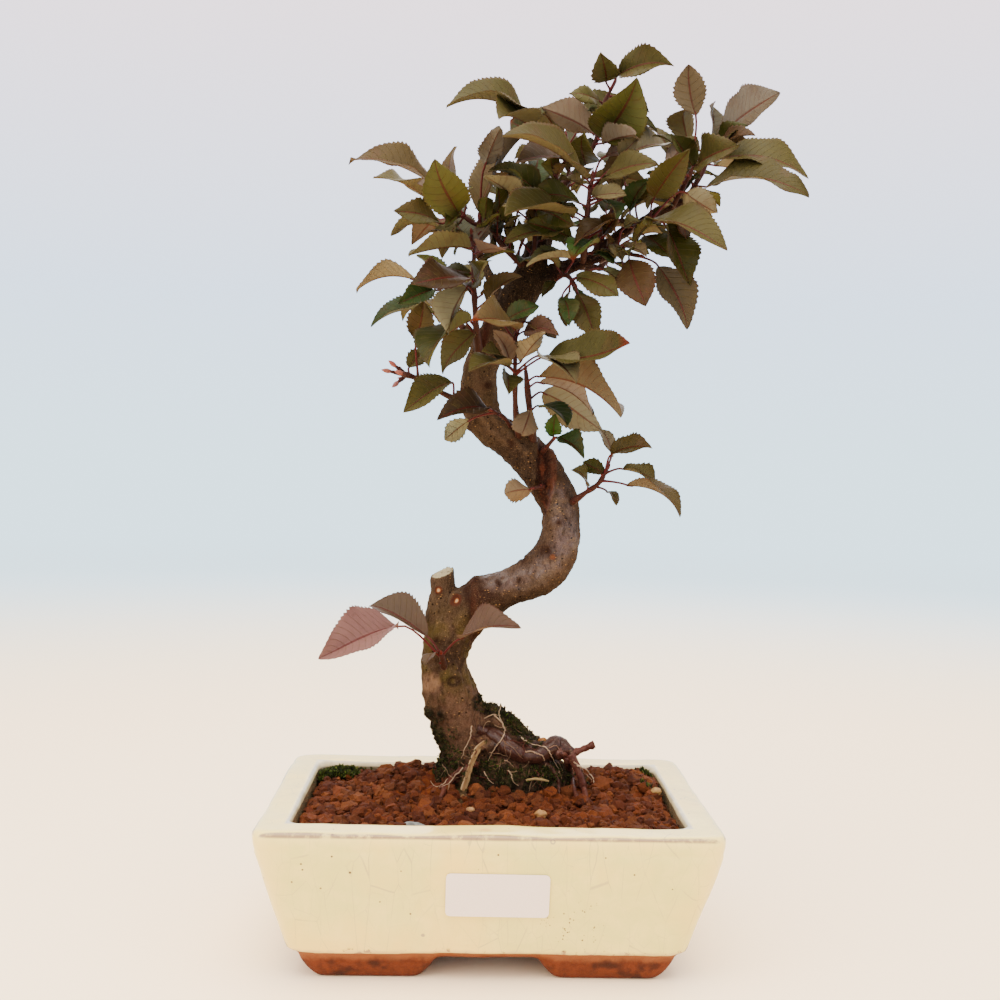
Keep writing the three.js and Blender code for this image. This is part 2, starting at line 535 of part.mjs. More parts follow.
// One leaf as a closed surface: a three-sided stalk that starts in the stem, and a blade that is cut
// into forward teeth along both edges, folded along its rib, arched and waved.
// leaf: { from, base, tip, normal, width, arch, wave, teeth }
const BLADE = { thickness: 0.66, fold: 0.22, wave: 0.7, notch: 0.2, stalk: 0.75 };
function leafSolid(leaf, extra = 0) {
  const axis = leaf.tip.clone().sub(leaf.base);
  const length = axis.length();
  axis.normalize();
  const normal = leaf.normal.clone().addScaledVector(axis, -leaf.normal.dot(axis)).normalize();
  const across = normal.clone().cross(axis);
  const { teeth } = leaf;
  const ribs = 2;
  const edge = [];
  for (let k = 0; k < teeth; k += 1) {
    edge.push([(k + 0.75) / (teeth + 0.25), 1], [(k + 0.95) / (teeth + 0.25), 1 - BLADE.notch]);
  }
  const half = BLADE.thickness / 2 + extra;
  const points = [];
  const faces = [];

  // The stalk: two rings of left top, right top and bottom.
  const path = [leaf.from, leaf.base];
  const thick = BLADE.stalk + extra;
  path.forEach((at, i) => {
    const along = i === 1 ? axis : leaf.base.clone().sub(at).normalize();
    const turned = new THREE.Quaternion().setFromUnitVectors(axis, along);
    const side = across.clone().applyQuaternion(turned);
    const up = normal.clone().applyQuaternion(turned);
    for (const [sx, sz] of [[-1, 1], [1, 1], [0, -1]]) {
      points.push(at.clone().addScaledVector(side, sx * thick).addScaledVector(up, sz * thick));
    }
  });
  for (let a = 0; a < 3; a += 1) {
    const b = (a + 1) % 3;
    faces.push([a, a + 3, b + 3], [a, b + 3, b]);
  }
  faces.push([0, 1, 2]);
  const root = { top: [3, 4], bottom: [5, 5] };

  // The two faces of the blade have the same places and the same triangles.
  const spot = (u, v, reach, above) => {
    const out = v * (leaf.width / 2) * bladeShare(u) * reach;
    const lift = leaf.arch * 4 * u * (1 - u) + Math.abs(out) * BLADE.fold
      + Math.abs(v) * Math.sin(u * 9 + leaf.wave + v) * BLADE.wave;
    return leaf.base.clone()
      .addScaledVector(axis, length * u)
      .addScaledVector(across, out)
      .addScaledVector(normal, lift + above * half);
  };
  const layer = (above) => {
    const start = points.length;
    for (let i = 1; i <= ribs; i += 1) points.push(spot(i / ribs, 0, 0, above));
    for (const v of [-1, 1]) edge.forEach(([u, reach]) => points.push(spot(u, v, reach, above)));
    return start;
  };
  const top = layer(1);
  const bottom = layer(-1);
  const count = edge.length;
  const face = (name, start, a, b, c, flip) => {
    const at = (k) => (k < 0 ? root[name][-k - 1] : start + k);
    faces.push(flip ? [at(a), at(c), at(b)] : [at(a), at(b), at(c)]);
  };
  for (const [name, start, under] of [['top', top, false], ['bottom', bottom, true]]) {
    if (!under) face(name, start, -2, -1, 0, under);
    for (const v of [-1, 1]) {
      const first = ribs + (v > 0 ? count : 0);
      const flip = (v < 0) !== under;
      let i = 0;
      let j = 0;
      face(name, start, v < 0 ? -1 : -2, 0, first, flip);
      while (i < count - 1 || j < ribs - 2) {
        const edgeNext = i < count - 1 ? edge[i + 1][0] : 2;
        const ribNext = j < ribs - 2 ? (j + 2) / ribs : 2;
        if (edgeNext <= ribNext) {
          face(name, start, first + i, j, first + i + 1, flip);
          i += 1;
        } else {
          face(name, start, first + i, j, j + 1, flip);
          j += 1;
        }
      }
      face(name, start, first + count - 1, ribs - 2, ribs - 1, flip);
    }
  }
  for (const v of [-1, 1]) {
    const first = ribs + (v > 0 ? count : 0);
    const rim = [...edge.map((_, k) => first + k), ribs - 1];
    const upper = [root.top[v < 0 ? 0 : 1], ...rim.map((k) => top + k)];
    const lower = [root.bottom[v < 0 ? 0 : 1], ...rim.map((k) => bottom + k)];
    for (let k = 0; k + 1 < upper.length; k += 1) {
      const [a, b] = v < 0 ? [k, k + 1] : [k + 1, k];
      faces.push([lower[a], lower[b], upper[b]], [lower[a], upper[b], upper[a]]);
    }
  }
  return toSolid(closedGeometry(points, faces));
}

// Long leaves have more teeth than short ones.
function toothCount(length) {
  if (length > 36) return 4;
  return length > 12 ? 3 : 2;
}

// A front leaf's row as a blade in space. It springs from the nearest place on the shoot's stem,
// and its roll is what makes a blade of its true width show the width that is seen.
const TRUE_WIDTH = { share: 0.44, least: 3 };
function frontLeaf(row, stem, index) {
  const [bx, bz, tx, tz, behind, shows, arch, side] = row;
  let nearest = 0;
  const gap = (s) => Math.hypot(s.x - bx, s.z - bz);
  stem.forEach((s, i) => {
    if (gap(s) < gap(stem[nearest])) nearest = i;
  });
  const depth = stem[nearest].y + behind * 0.25;
  const base = seen(bx, bz, depth);
  const tip = seen(tx, tz, depth + behind);
  const axis = tip.clone().sub(base);
  const length = axis.length();
  axis.normalize();
  const toEye = EYE.clone().sub(base).normalize();
  toEye.addScaledVector(axis, -toEye.dot(axis)).normalize();
  const upward = axis.clone().cross(toEye).normalize();
  if (upward.z < 0) upward.negate();
  const width = Math.max(shows, length * TRUE_WIDTH.share + TRUE_WIDTH.least);
  const roll = Math.acos(Math.min(1, shows / width));
  const normal = toEye.multiplyScalar(side * Math.cos(roll)).addScaledVector(upward, Math.sin(roll));
  const back = Math.max(0, nearest - Math.round(gap(stem[nearest]) * 0.5));
  const from = stem[back].at;
  return { from, base, tip, normal, width, arch, wave: index * 1.7, teeth: toothCount(length) };
}

// Leaves set round a stem by the golden angle, reaching outward, forward along it and a little down.
const GOLDEN_ANGLE = Math.PI * (3 - Math.sqrt(5));
const BARE_SHARE = 0.3;
const RULED_WIDTH = { share: 0.46, least: 2 };
function ruledLeaves(stem, count, length, seed) {
  const random = randomStream(seed);
  const last = stem.length - 1;
  return Array.from({ length: count }, (_, i) => {
    const spot = Math.round((BARE_SHARE + ((1 - BARE_SHARE) * i) / (count - 1)) * last);
    const at = stem[spot].at;
    const before = stem[Math.max(spot - 1, 0)].at;
    const along = stem[Math.min(spot + 1, last)].at.clone().sub(before).normalize();
    const side = new THREE.Vector3(0, 0, 1).cross(along).normalize();
    const up = along.clone().cross(side);
    const turn = i * GOLDEN_ANGLE + seed;
    const reach = side.multiplyScalar(Math.cos(turn)).addScaledVector(up, Math.sin(turn) * 0.8);
    reach.addScaledVector(along, 0.5 + 0.4 * random()).normalize();
    const size = length * (0.75 + 0.45 * random());
    const stalk = 7 + 6 * random();
    const base = at.clone().addScaledVector(reach, stalk);
    base.z += 2;
    const tip = base.clone().addScaledVector(reach, size);
    tip.z -= size * (0.1 + 0.3 * random());
    const normal = new THREE.Vector3((random() - 0.5) * 0.9, (random() - 0.5) * 0.9, 1);
    const arch = 2 + 3 * random();
    const wave = i * 1.7 + seed;
    const width = size * RULED_WIDTH.share + RULED_WIDTH.least;
    return { from: at, base, tip, normal, width, arch, wave, teeth: 3 };
  });
}

// Points all along a stem, close enough to spring a leaf from any of them.
function stemPoints(rows) {
  const curve = new THREE.CatmullRomCurve3(rows.map(([x, y, z]) => new THREE.Vector3(x, y, z)));
  return curve.getPoints(40);
}

// A leaf is turned in small steps, and at last made shorter, until it passes clear of every other
// shoot. One that finds no clear place is left out.
const TURNS = [0, 4, -4, 8, -8, 13, -13, 19, -19, 26, -26, 34, -34];
const LIFTS = [0, 4, -4, 9, -9];
const SIZES = [1, 0.82, 0.66];
const CLEAR_EXTRA = 0.25;
function bentClear(leaf, others) {
  for (const size of SIZES) {
    for (const lift of LIFTS) {
      for (const turn of TURNS) {
        const shift = new THREE.Vector3(0, turn, lift);
        const base = leaf.base.clone().addScaledVector(shift, 0.35);
        const tip = base.clone().lerp(leaf.tip.clone().add(shift), size);
        const tried = { ...leaf, base, tip, width: leaf.width * size };
        const probe = leafSolid(tried, CLEAR_EXTRA);
        if (others.every((other) => probe.intersect(other).volume() < 1e-4)) return tried;
      }
    }
  }
  return null;
}

// One shoot: its stems, stalks and blades in one piece, springing from the wood.
function buildShoot(stems, leaves, wood, woodGrown, others) {
  const near = [...others, wood];
  const placed = leaves.map((leaf) => bentClear(leaf, near)).filter((leaf) => leaf);
  const blades = placed.map((leaf) => leafSolid(leaf));
  return join([...stems, ...blades]).subtract(woodGrown);
}

function largest(solid) {
  return solid.decompose().reduce((a, b) => (a.volume() > b.volume() ? a : b));
}

const bonsai = new THREE.Group();

function addMesh(name, solid, colour, roughness) {
  const mesh = largest(solid).getMesh();
  const geometry = new THREE.BufferGeometry();
  geometry.setAttribute('position', new THREE.BufferAttribute(mesh.vertProperties, 3));
  geometry.setIndex(new THREE.BufferAttribute(mesh.triVerts, 1));
  geometry.computeVertexNormals();
  const material = new THREE.MeshStandardMaterial({ color: colour, roughness, metalness: 0 });
  const object = new THREE.Mesh(geometry, material);
  object.name = name;
  bonsai.add(object);
}

const wood = buildTrunk(0);
const woodGrown = buildTrunk(CLEARANCE);

addMesh('pot', buildPot(), 0xd8d3b4, 0.25);
addMesh('drain_screen_left', buildScreen(-DRAIN.x), 0x22302a, 0.6);
addMesh('drain_screen_right', buildScreen(DRAIN.x), 0x22302a, 0.6);

// The label lies on the sloping front wall.
const wallRun = POT_DEPTH / 2 - 0.8 - (GLAZE_DEPTH / 2 + 0.5);
const wallRise = POT_HEIGHT - LIP_DROP - (GLAZE_BOTTOM + 3);
const wallAngle = Math.atan2(wallRun, wallRise);
const labelOutline = new THREE.Shape(
  roundedRing(LABEL.width / 2, LABEL.height / 2, LABEL.corner, 0, 2)
    .map((p) => new THREE.Vector2(p.x, p.y)),
);
const labelPlate = new THREE.ExtrudeGeometry(labelOutline, { depth: LABEL.thickness, bevelEnabled: false });
const labelWallY = -(GLAZE_DEPTH / 2 + 0.5 + ((LABEL.z - GLAZE_BOTTOM - 3) * wallRun) / wallRise);
labelPlate.rotateZ(-LABEL.turn).translate(0, 0, CLEARANCE).rotateX(Math.PI / 2 + wallAngle);
addMesh('blank_label', toSolid(labelPlate.translate(LABEL.x, labelWallY, LABEL.z)), 0xf2f0ee, 0.6);

const mossLump = (grow) => lump(
  { x: MOSS.x, y: MOSS.y, z: soilHeight(MOSS.x, MOSS.y) },
  [MOSS.radius + grow, MOSS.radius * 0.8 + grow, MOSS.height + grow],
  10,
  0.25,
  5,
);
const stoneLump = (grow) => lump(
  { x: GREY_STONE.x, y: GREY_STONE.y, z: soilHeight(GREY_STONE.x, GREY_STONE.y) + 1 },
  [1.25, 0.8, 0.7].map((share) => GREY_STONE.radius * share + grow),
  8,
  0.15,
  8,
);
addMesh('soil', buildSoil([woodGrown, mossLump(SEAT), stoneLump(SEAT)]), 0x7a3b1e, 0.95);
addMesh('moss_clump', mossLump(0), 0x4d5f22, 0.95);
addMesh('grey_stone', stoneLump(0), 0x8a8880, 0.8);
addMesh('trunk', wood, 0x5a4238, 0.75);

const built = [];
function addShoot(name, colour, stems, leaves) {
  const body = largest(buildShoot(stems, leaves, wood, woodGrown, built));
  addMesh(name, body, COLOURS[colour], 0.6);
  built.push(body);
}

for (const [name, colour, stems, rows] of SHOOTS) {
  const main = stemPoints(stems[0].map(([x, z, y]) => [x, y, z]));
  const stem = main.map((p) => ({ x: p.x, y: p.y, z: p.z, at: seen(p.x, p.z, p.y) }));
  const leaves = rows.map((row, i) => frontLeaf(row, stem, i));
  addShoot(name, colour, stems.map((s) => limb(seenStations(s), 4)), leaves);
}

RULED_SHOOTS.forEach(([name, colour, rows, count, length], i) => {
  const stem = stemPoints(rows).map((at) => ({ at }));
  const stations = rows.map(([x, y, z, radius]) => ({ at: new THREE.Vector3(x, y, z), radius }));
  addShoot(name, colour, [limb(stations, 4)], ruledLeaves(stem, count, length, 3 + i));
});

const box = new THREE.Box3().setFromObject(bonsai);
bonsai.position.set(-(box.min.x + box.max.x) / 2, -(box.min.y + box.max.y) / 2, -box.min.z);

export default bonsai;
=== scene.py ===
"""An apple bonsai in a glazed pot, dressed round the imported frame.

Places are written in millimetres round the middle of the pot, as the part's source has them, and are
turned into the frame's metres when a mesh is made. What shows from the front is given by x and z on
the plane y = 0 as the eye sees them, with the depth y that it really has.
"""
import math
import random
from functools import partialmethod

import bmesh
import bpy
import numpy as np
from mathutils import Matrix, Vector, kdtree, noise
from mathutils.bvhtree import BVHTree


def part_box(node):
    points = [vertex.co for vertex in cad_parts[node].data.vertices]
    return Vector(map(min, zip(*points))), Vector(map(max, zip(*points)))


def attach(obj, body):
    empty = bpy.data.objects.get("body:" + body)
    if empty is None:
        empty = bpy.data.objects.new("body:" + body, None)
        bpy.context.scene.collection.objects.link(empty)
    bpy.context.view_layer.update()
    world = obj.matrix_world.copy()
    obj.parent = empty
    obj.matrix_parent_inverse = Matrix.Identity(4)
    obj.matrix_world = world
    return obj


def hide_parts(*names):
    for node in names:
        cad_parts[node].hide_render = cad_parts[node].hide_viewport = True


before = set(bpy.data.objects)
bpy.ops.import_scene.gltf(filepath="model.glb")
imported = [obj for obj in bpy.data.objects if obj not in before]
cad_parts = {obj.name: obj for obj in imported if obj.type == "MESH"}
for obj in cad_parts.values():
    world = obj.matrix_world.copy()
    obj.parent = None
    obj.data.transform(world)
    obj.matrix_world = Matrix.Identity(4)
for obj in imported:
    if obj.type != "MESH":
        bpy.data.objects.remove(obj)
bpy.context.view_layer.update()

MM = 0.001
FULL_TURN = 6.3
POT_LOW, POT_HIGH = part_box("pot")
SHIFT = Vector(((POT_LOW.x + POT_HIGH.x) / 2, (POT_LOW.y + POT_HIGH.y) / 2, 0.0))
EYE = Vector((-12.3, -640.0, 244.5))
POT_HALF = Vector(((POT_HIGH.x - POT_LOW.x) / 2, (POT_HIGH.y - POT_LOW.y) / 2, 0)) / MM
POT_HEIGHT = POT_HIGH.z / MM

# The soil: its level, its mounds (x, y, height and widths along x and y) and its half size. Rays down
# on it start at the top height.
RAY_TOP = 140.0
SOIL_LEVEL = 67.5
SOIL_MOUNDS = [(-40, 27, 8.5, 24, 20), (68, 28, 8, 24, 20), (6, 14, 6.5, 42, 24)]
SOIL_HALF = (92.0, 58.5)


# Places and meshes

def to_frame(points):
    return np.asarray(points, float).reshape(-1, 3) * MM + np.array(SHIFT)


def to_mm(points):
    return (np.asarray(points, float).reshape(-1, 3) - np.array(SHIFT)) / MM


def seen(x, z, y):
    """The place at depth y that covers (x, z) of the plane y = 0 for the eye."""
    scale = (y - EYE.y) / -EYE.y
    return Vector((EYE.x + (x - EYE.x) * scale, y, EYE.z + (z - EYE.z) * scale))


def seen_plane(points):
    """x and z on the plane y = 0 that points cover for the eye."""
    scale = -EYE.y / (points[:, 1] - EYE.y)
    return EYE.x + (points[:, 0] - EYE.x) * scale, EYE.z + (points[:, 2] - EYE.z) * scale


def soil_height(x, y):
    mounds = (h * math.exp(-(((x - mx) / w) ** 2) - ((y - my) / d) ** 2) for mx, my, h, w, d in SOIL_MOUNDS)
    return SOIL_LEVEL + sum(mounds)


def rough(points, size, octaves=3, seed=0.0):
    """Smooth noise, about -1 to 1, at each point, with bumps of about that size."""
    shift = Vector((seed * 7.3, seed * 3.1, seed * 5.7))
    return np.array([noise.fractal(Vector(p) / size + shift, 0.9, 2.0, octaves) for p in points])


def linked(name, data):
    """A new object in the scene."""
    thing = bpy.data.objects.new(name, data)
    bpy.context.scene.collection.objects.link(thing)
    return thing


def new_piece(name, points, faces, slot, materials, kinds=None, smooth=True, replaces=()):
    """A mesh from places in millimetres, riding on the object's one body."""
    mesh = bpy.data.meshes.new(name)
    mesh.from_pydata(to_frame(points), [], faces)
    return finish_piece(name, mesh, slot, materials, kinds, smooth, replaces)


def finish_piece(name, mesh, slot, materials, kinds=None, smooth=True, replaces=()):
    piece = linked(name, mesh)
    mesh.materials.clear()
    for material in materials:
        mesh.materials.append(material)
    count = len(mesh.polygons)
    mesh.polygons.foreach_set("material_index", np.asarray(kinds or [0] * count, np.int32))
    mesh.polygons.foreach_set("use_smooth", np.full(count, smooth))
    mesh.update()
    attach(piece, "root")
    if replaces:
        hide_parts(*replaces)
    return piece


def store(mesh, name, values):
    """Values kept on the points of a mesh: one number, a vector or a colour with its alpha."""
    values = np.asarray(values, np.float32)
    kinds = {1: ("FLOAT", "value"), 3: ("FLOAT_VECTOR", "vector"), 4: ("FLOAT_COLOR", "color")}
    kind, field = kinds[1 if values.ndim == 1 else values.shape[1]]
    mesh.attributes.new(name, kind, "POINT").data.foreach_set(field, values.ravel())


def colour(text):
    """A colour in linear light from a written sRGB one."""
    values = [int(text[i:i + 2], 16) / 255 for i in (0, 2, 4)]
    return [v / 12.92 if v <= 0.04045 else ((v + 0.055) / 1.055) ** 2.4 for v in values]


def opaque(text):
    return (*colour(text), 1)


def varied(text, draw):
    """The colour with each of its three parts a little up or down."""
    return (*(c * draw.uniform(0.8, 1.2) for c in colour(text)), 1)


def climb(values, low, high):
    """0 up to low and 1 from high on, with a straight slope between. Low may be the larger one."""
    return np.clip((values - low) / (high - low), 0, 1)


def evenly(numbers, count):
    """The numbers spread over a length, read off at evenly spaced places."""
    return np.interp(np.linspace(0, 1, count), np.linspace(0, 1, len(numbers)), numbers)


def below(tree, x, y):
    """What a ray straight down on (x, y) meets: place and normal."""
    return tree.ray_cast(Vector((x, y, RAY_TOP)), Vector((0, 0, -1)))[:2]


def behind(tree, x, z):
    """What the eye sees at (x, z) of the plane y = 0: place and normal."""
    return tree.ray_cast(EYE, (Vector((x, 0, z)) - EYE).normalized())[:2]


def tree_of(*names):
    """A ray-casting tree, in millimetres, of several meshes as one."""
    points, faces = [], []
    for name in names:
        mesh = bpy.data.objects[name].data
        start = len(points)
        points += [Vector(p) for p in places_of(mesh)]
        faces += [tuple(start + i for i in p.vertices) for p in mesh.polygons]
    return BVHTree.FromPolygons(points, faces)


def remeshed(node, voxel, smoothing):
    """A copy of a CAD node's mesh in even small faces, in frame metres."""
    helper = linked("helper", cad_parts[node].data.copy())
    remesh = helper.modifiers.new("even", "REMESH")
    remesh.mode = "VOXEL"
    remesh.voxel_size = voxel * MM
    soften = helper.modifiers.new("soft", "SMOOTH")
    soften.factor = 0.5
    soften.iterations = smoothing
    graph = bpy.context.evaluated_depsgraph_get()
    mesh = bpy.data.meshes.new_from_object(helper.evaluated_get(graph))
    bpy.data.objects.remove(helper)
    for attribute in [a.name for a in mesh.attributes if a.name.startswith(("custom", "UV"))]:
        mesh.attributes.remove(mesh.attributes[attribute])
    return mesh


def places_of(mesh):
    co = np.zeros(len(mesh.vertices) * 3)
    mesh.vertices.foreach_get("co", co)
    return to_mm(co)


def normals_of(mesh):
    normals = np.zeros(len(mesh.vertices) * 3)
    mesh.vertices.foreach_get("normal", normals)
    return normals.reshape(-1, 3)


def set_places(mesh, points):
    mesh.vertices.foreach_set("co", to_frame(points).ravel())
    mesh.update()


def curve_points(rows, steps):
    """A smooth curve through the rows, as the part's source draws it: x, y, z of even steps."""
    rows = [Vector(r) for r in rows]
    last = len(rows) - 1
    out = []
    for k in range(steps + 1):
        along = last * k / steps
        i = min(int(along), last - 1)
        t = along - i
        p1, p2 = rows[i], rows[i + 1]
        p0 = rows[i - 1] if i > 0 else p1 * 2 - p2
        p3 = rows[i + 2] if i + 2 <= last else p2 * 2 - p1
        d0, d1, d2 = (max((b - a).length ** 0.5, 1e-4) for a, b in ((p0, p1), (p1, p2), (p2, p3)))
        m1 = ((p1 - p0) / d0 - (p2 - p0) / (d0 + d1) + (p2 - p1) / d1) * d1
        m2 = ((p2 - p1) / d1 - (p3 - p1) / (d1 + d2) + (p3 - p2) / d2) * d1
        bend = p2 * 3 - p1 * 3 - m1 * 2 - m2
        out.append(p1 + m1 * t + bend * t * t + (p1 * 2 - p2 * 2 + m1 + m2) * t ** 3)
    return out


def flat_curve(line, steps):
    """A smooth curve through places x, z of the seen plane."""
    return curve_points([(x, 0, z) for x, z in line], steps)


class Shape:
    """Points, faces and the values that go with them, gathered for one mesh."""

    def __init__(self):
        self.points, self.faces, self.kinds, self.values = [], [], [], []

    def add(self, points, faces, kind, value):
        """More points and faces, with a list of the points' values or one value for them all."""
        start = len(self.points)
        self.points.extend(points)
        self.faces.extend(tuple(start + i for i in f) for f in faces)
        self.kinds.extend([kind] * len(faces))
        self.values.extend(value if isinstance(value, list) else [value] * len(points))

    def tube(self, path, radii, sides, kind, value):
        """A round tube along a path, closed by a point at each end."""
        points, faces = [], []
        side = Vector((0, 0, 1))
        count = len(path)
        for i, at in enumerate(path):
            along = (path[min(i + 1, count - 1)] - path[max(i - 1, 0)]).normalized()
            if i == 0 and abs(along.z) > 0.8:
                side = Vector((1, 0, 0))
            side = (side - along * side.dot(along)).normalized()
            up = along.cross(side)
            for j in range(sides):
                turn = 2 * math.pi * j / sides
                points.append(at + (side * math.cos(turn) + up * math.sin(turn)) * radii[i])
        for i in range(count - 1):
            for j in range(sides):
                k = (j + 1) % sides
                faces.append((i * sides + j, i * sides + k, (i + 1) * sides + k, (i + 1) * sides + j))
        ends = [path[0], path[-1]]
        tips = len(points)
        points.extend(ends)
        last = (count - 1) * sides
        for j in range(sides):
            k = (j + 1) % sides
            faces.append((tips, k, j))
            faces.append((tips + 1, last + j, last + k))
        self.add(points, faces, kind, value)

    def piece(self, name, slot, materials, keys, **options):
        """The mesh as a piece, each key kept on its points from the values' parts."""
        piece = new_piece(name, self.points, self.faces, slot, materials, **options)
        for i, key in enumerate(keys):
            store(piece.data, key, [v[i] for v in self.values])
        return piece


# Materials

class Finish:
    """A procedural material, built node by node. Places in it are millimetres round the pot."""

    def __init__(self, name, **constants):
        self.material = bpy.data.materials.new(name)
        self.material.use_nodes = True
        self.nodes = self.material.node_tree.nodes
        self.nodes.clear()
        self.shader = self.nodes.new("ShaderNodeBsdfPrincipled")
        output = self.nodes.new("ShaderNodeOutputMaterial")
        self.put(output.inputs["Surface"], self.shader.outputs[0])
        for key, value in constants.items():
            self.shader.inputs[key.replace("_", " ")].default_value = value
        place = self.nodes.new("ShaderNodeTexCoord").outputs["Object"]
        self.where = self.node("Mapping", Vector=place, Scale=(1 / MM,) * 3, Location=-SHIFT / MM).outputs[0]

    def put(self, socket, value):
        if isinstance(value, bpy.types.NodeSocket):
            self.material.node_tree.links.new(value, socket)
        elif isinstance(value, str):
            socket.default_value = opaque(value)
        else:
            socket.default_value = value

    def node(self, kind, *values, **inputs):
        """A node with its inputs set in order, or by name. None leaves an input as it is."""
        node = self.nodes.new("ShaderNode" + kind)
        for socket, value in [*zip(node.inputs, values), *((node.inputs[k], v) for k, v in inputs.items())]:
            if value is not None:
                self.put(socket, value)
        return node

    def calculate(self, operation, *values):
        node = self.node("Math", *values)
        node.operation = operation
        return node.outputs[0]

    times = partialmethod(calculate, "MULTIPLY")
    plus = partialmethod(calculate, "ADD")
    minus = partialmethod(calculate, "SUBTRACT")
    larger = partialmethod(calculate, "MAXIMUM")
    positive = partialmethod(calculate, "ABSOLUTE")

    def mix(self, share, a, b):
        node = self.nodes.new("ShaderNodeMix")
        node.data_type = "RGBA"
        for socket, value in zip((node.inputs["Factor"], node.inputs[6], node.inputs[7]), (share, a, b)):
            self.put(socket, value)
        return node.outputs[2]

    def step(self, value, low, high, out_low=0.0, out_high=1.0):
        """A smooth climb from out_low to out_high as value goes from low to high."""
        node = self.node("MapRange", value, low, high, out_low, out_high)
        node.interpolation_type = "SMOOTHSTEP"
        return node.outputs[0]

    def stretched(self, *scale):
        return self.node("Mapping", Vector=self.where, Scale=scale).outputs[0]

    def noise(self, size, detail=4.0, roughness=0.55, where=None, twist=0.0):
        inputs = dict(Scale=1 / size, Detail=detail, Roughness=roughness, Distortion=twist)
        return self.node("TexNoise", Vector=where or self.where, **inputs).outputs["Fac"]

    def cells(self, size, where=None):
        """Round cells of about that size: the distance to each one's middle, and its three chance numbers."""
        node = self.node("TexVoronoi", Vector=where or self.where, Scale=1 / size)
        return node.outputs["Distance"], node.outputs["Color"]

    def seams(self, size, where=None):
        """The distance to the nearest seam between cells."""
        node = self.nodes.new("ShaderNodeTexVoronoi")
        node.feature = "DISTANCE_TO_EDGE"
        node.inputs["Scale"].default_value = 1 / size
        self.put(node.inputs["Vector"], where or self.where)
        return node.outputs["Distance"]

    def dots(self, size, part, rarity, radius, where=None):
        """Round dots in the cells whose chance number, one of three parts, is high enough."""
        distance, chance = self.cells(size, where)
        chosen = self.step(self.split(chance)[part], *rarity)
        return self.times(self.step(distance, *radius), chosen)

    def split(self, vector):
        return self.node("SeparateXYZ", vector).outputs

    def stored(self, name, field="Color"):
        node = self.nodes.new("ShaderNodeAttribute")
        node.attribute_name = name
        return node.outputs[field]

    def spot(self, place, radius, soft):
        """1 inside a ball round a place, falling to 0 over a soft edge."""
        node = self.nodes.new("ShaderNodeVectorMath")
        node.operation = "DISTANCE"
        self.put(node.inputs[0], self.where)
        node.inputs[1].default_value = place
        return self.step(node.outputs["Value"], radius + soft, radius)

    def bump(self, height, distance, strength=1.0, under=None):
        inputs = dict(Strength=strength, Distance=distance * MM, Height=height, Normal=under)
        return self.node("Bump", **inputs).outputs[0]

    def use(self, base=None, roughness=None, normal=None):
        for name, value in (("Base Color", base), ("Roughness", roughness), ("Normal", normal)):
            if value is not None:
                self.put(self.shader.inputs[name], value)
        return self.material


# On the glaze: stains with a radius, ring marks and dark dots, and the height where it ends.
RIM_MARKS = [((-2, -70, 74), 3.2), ((104, -20, 74), 2.4), ((103, 10, 74), 1.6)]
RING_MARKS = [(28.7, -76.6, 71.5), (-30.2, -68.5, 23.9)]
DARK_DOTS = [(-63.9, -75, 55.4), (37, -70, 31), (41, -69, 26), (35, -70.5, 35.7)]
GLAZE_END = 13.9

# Side veins: how they bend and lean forward, and the distance from one to the next.
VEIN_BEND = 1.25
VEIN_LEAN = 0.2
VEIN_PITCH = 3.7


def glaze_finish():
    """Cream and celadon glaze over brown clay, bare below the line where it ran to a stop."""
    f = Finish("crackled_cream_glaze", Coat_Roughness=0.08, Specular_IOR_Level=0.2)
    x, y, z = f.split(f.where)
    cloud = f.noise(14, 5, 0.6, twist=0.6)
    low = f.plus(z, f.step(f.noise(7, 4), 0.3, 0.7, -0.8, 0.8))
    lines, speck = glaze_cracks(f), glaze_specks(f)
    glaze = f.mix(f.step(f.noise(55, 3, 0.5), 0.38, 0.62), "e7c964", "d3c66b")
    glaze = f.mix(f.step(cloud, 0.35, 0.75, 0, 0.5), glaze, "edd578")
    corner = f.larger(f.step(f.positive(x), 88, 108), f.step(z, 66, 74))
    glaze = f.mix(f.times(corner, 0.6), glaze, "efd277")
    glaze = f.mix(lines, glaze, "b09d6c")
    glaze = f.mix(speck, glaze, "5c4630")
    for place in RING_MARKS:
        ring = f.minus(f.spot(place, 1.1, 0.3), f.spot(place, 0.55, 0.3))
        glaze = f.mix(f.times(ring, 0.8), glaze, "8d7d6c")
    for place, radius in RIM_MARKS:
        stain = f.times(f.spot(place, radius * 0.4, radius), f.step(cloud, 0.4, 0.6, 0.2, 1))
        glaze = f.mix(f.times(stain, 0.7), glaze, "c98b55")
    glaze = glaze_edges(f, glaze, low)
    glaze = inner_wall(f, glaze, cloud)
    bare = f.step(f.plus(z, f.step(f.noise(11, 4), 0.3, 0.7, -0.35, 0.35)), GLAZE_END + 0.35, GLAZE_END)
    base = f.mix(bare, glaze, foot_clay(f, low))
    shine = f.step(bare, 0, 1, f.step(cloud, 0.3, 0.7, 0.17, 0.27), 0.82)
    f.put(f.shader.inputs["Coat Weight"], f.step(bare, 0, 1, 0.35, 0))
    height = f.minus(f.times(f.noise(9, 3), 0.6), f.larger(speck, f.times(lines, 0.3)))
    grain = f.bump(f.times(bare, f.noise(0.9, 5, 0.7)), 0.5)
    return f.use(base, shine, f.bump(height, 0.22, 0.6, grain))


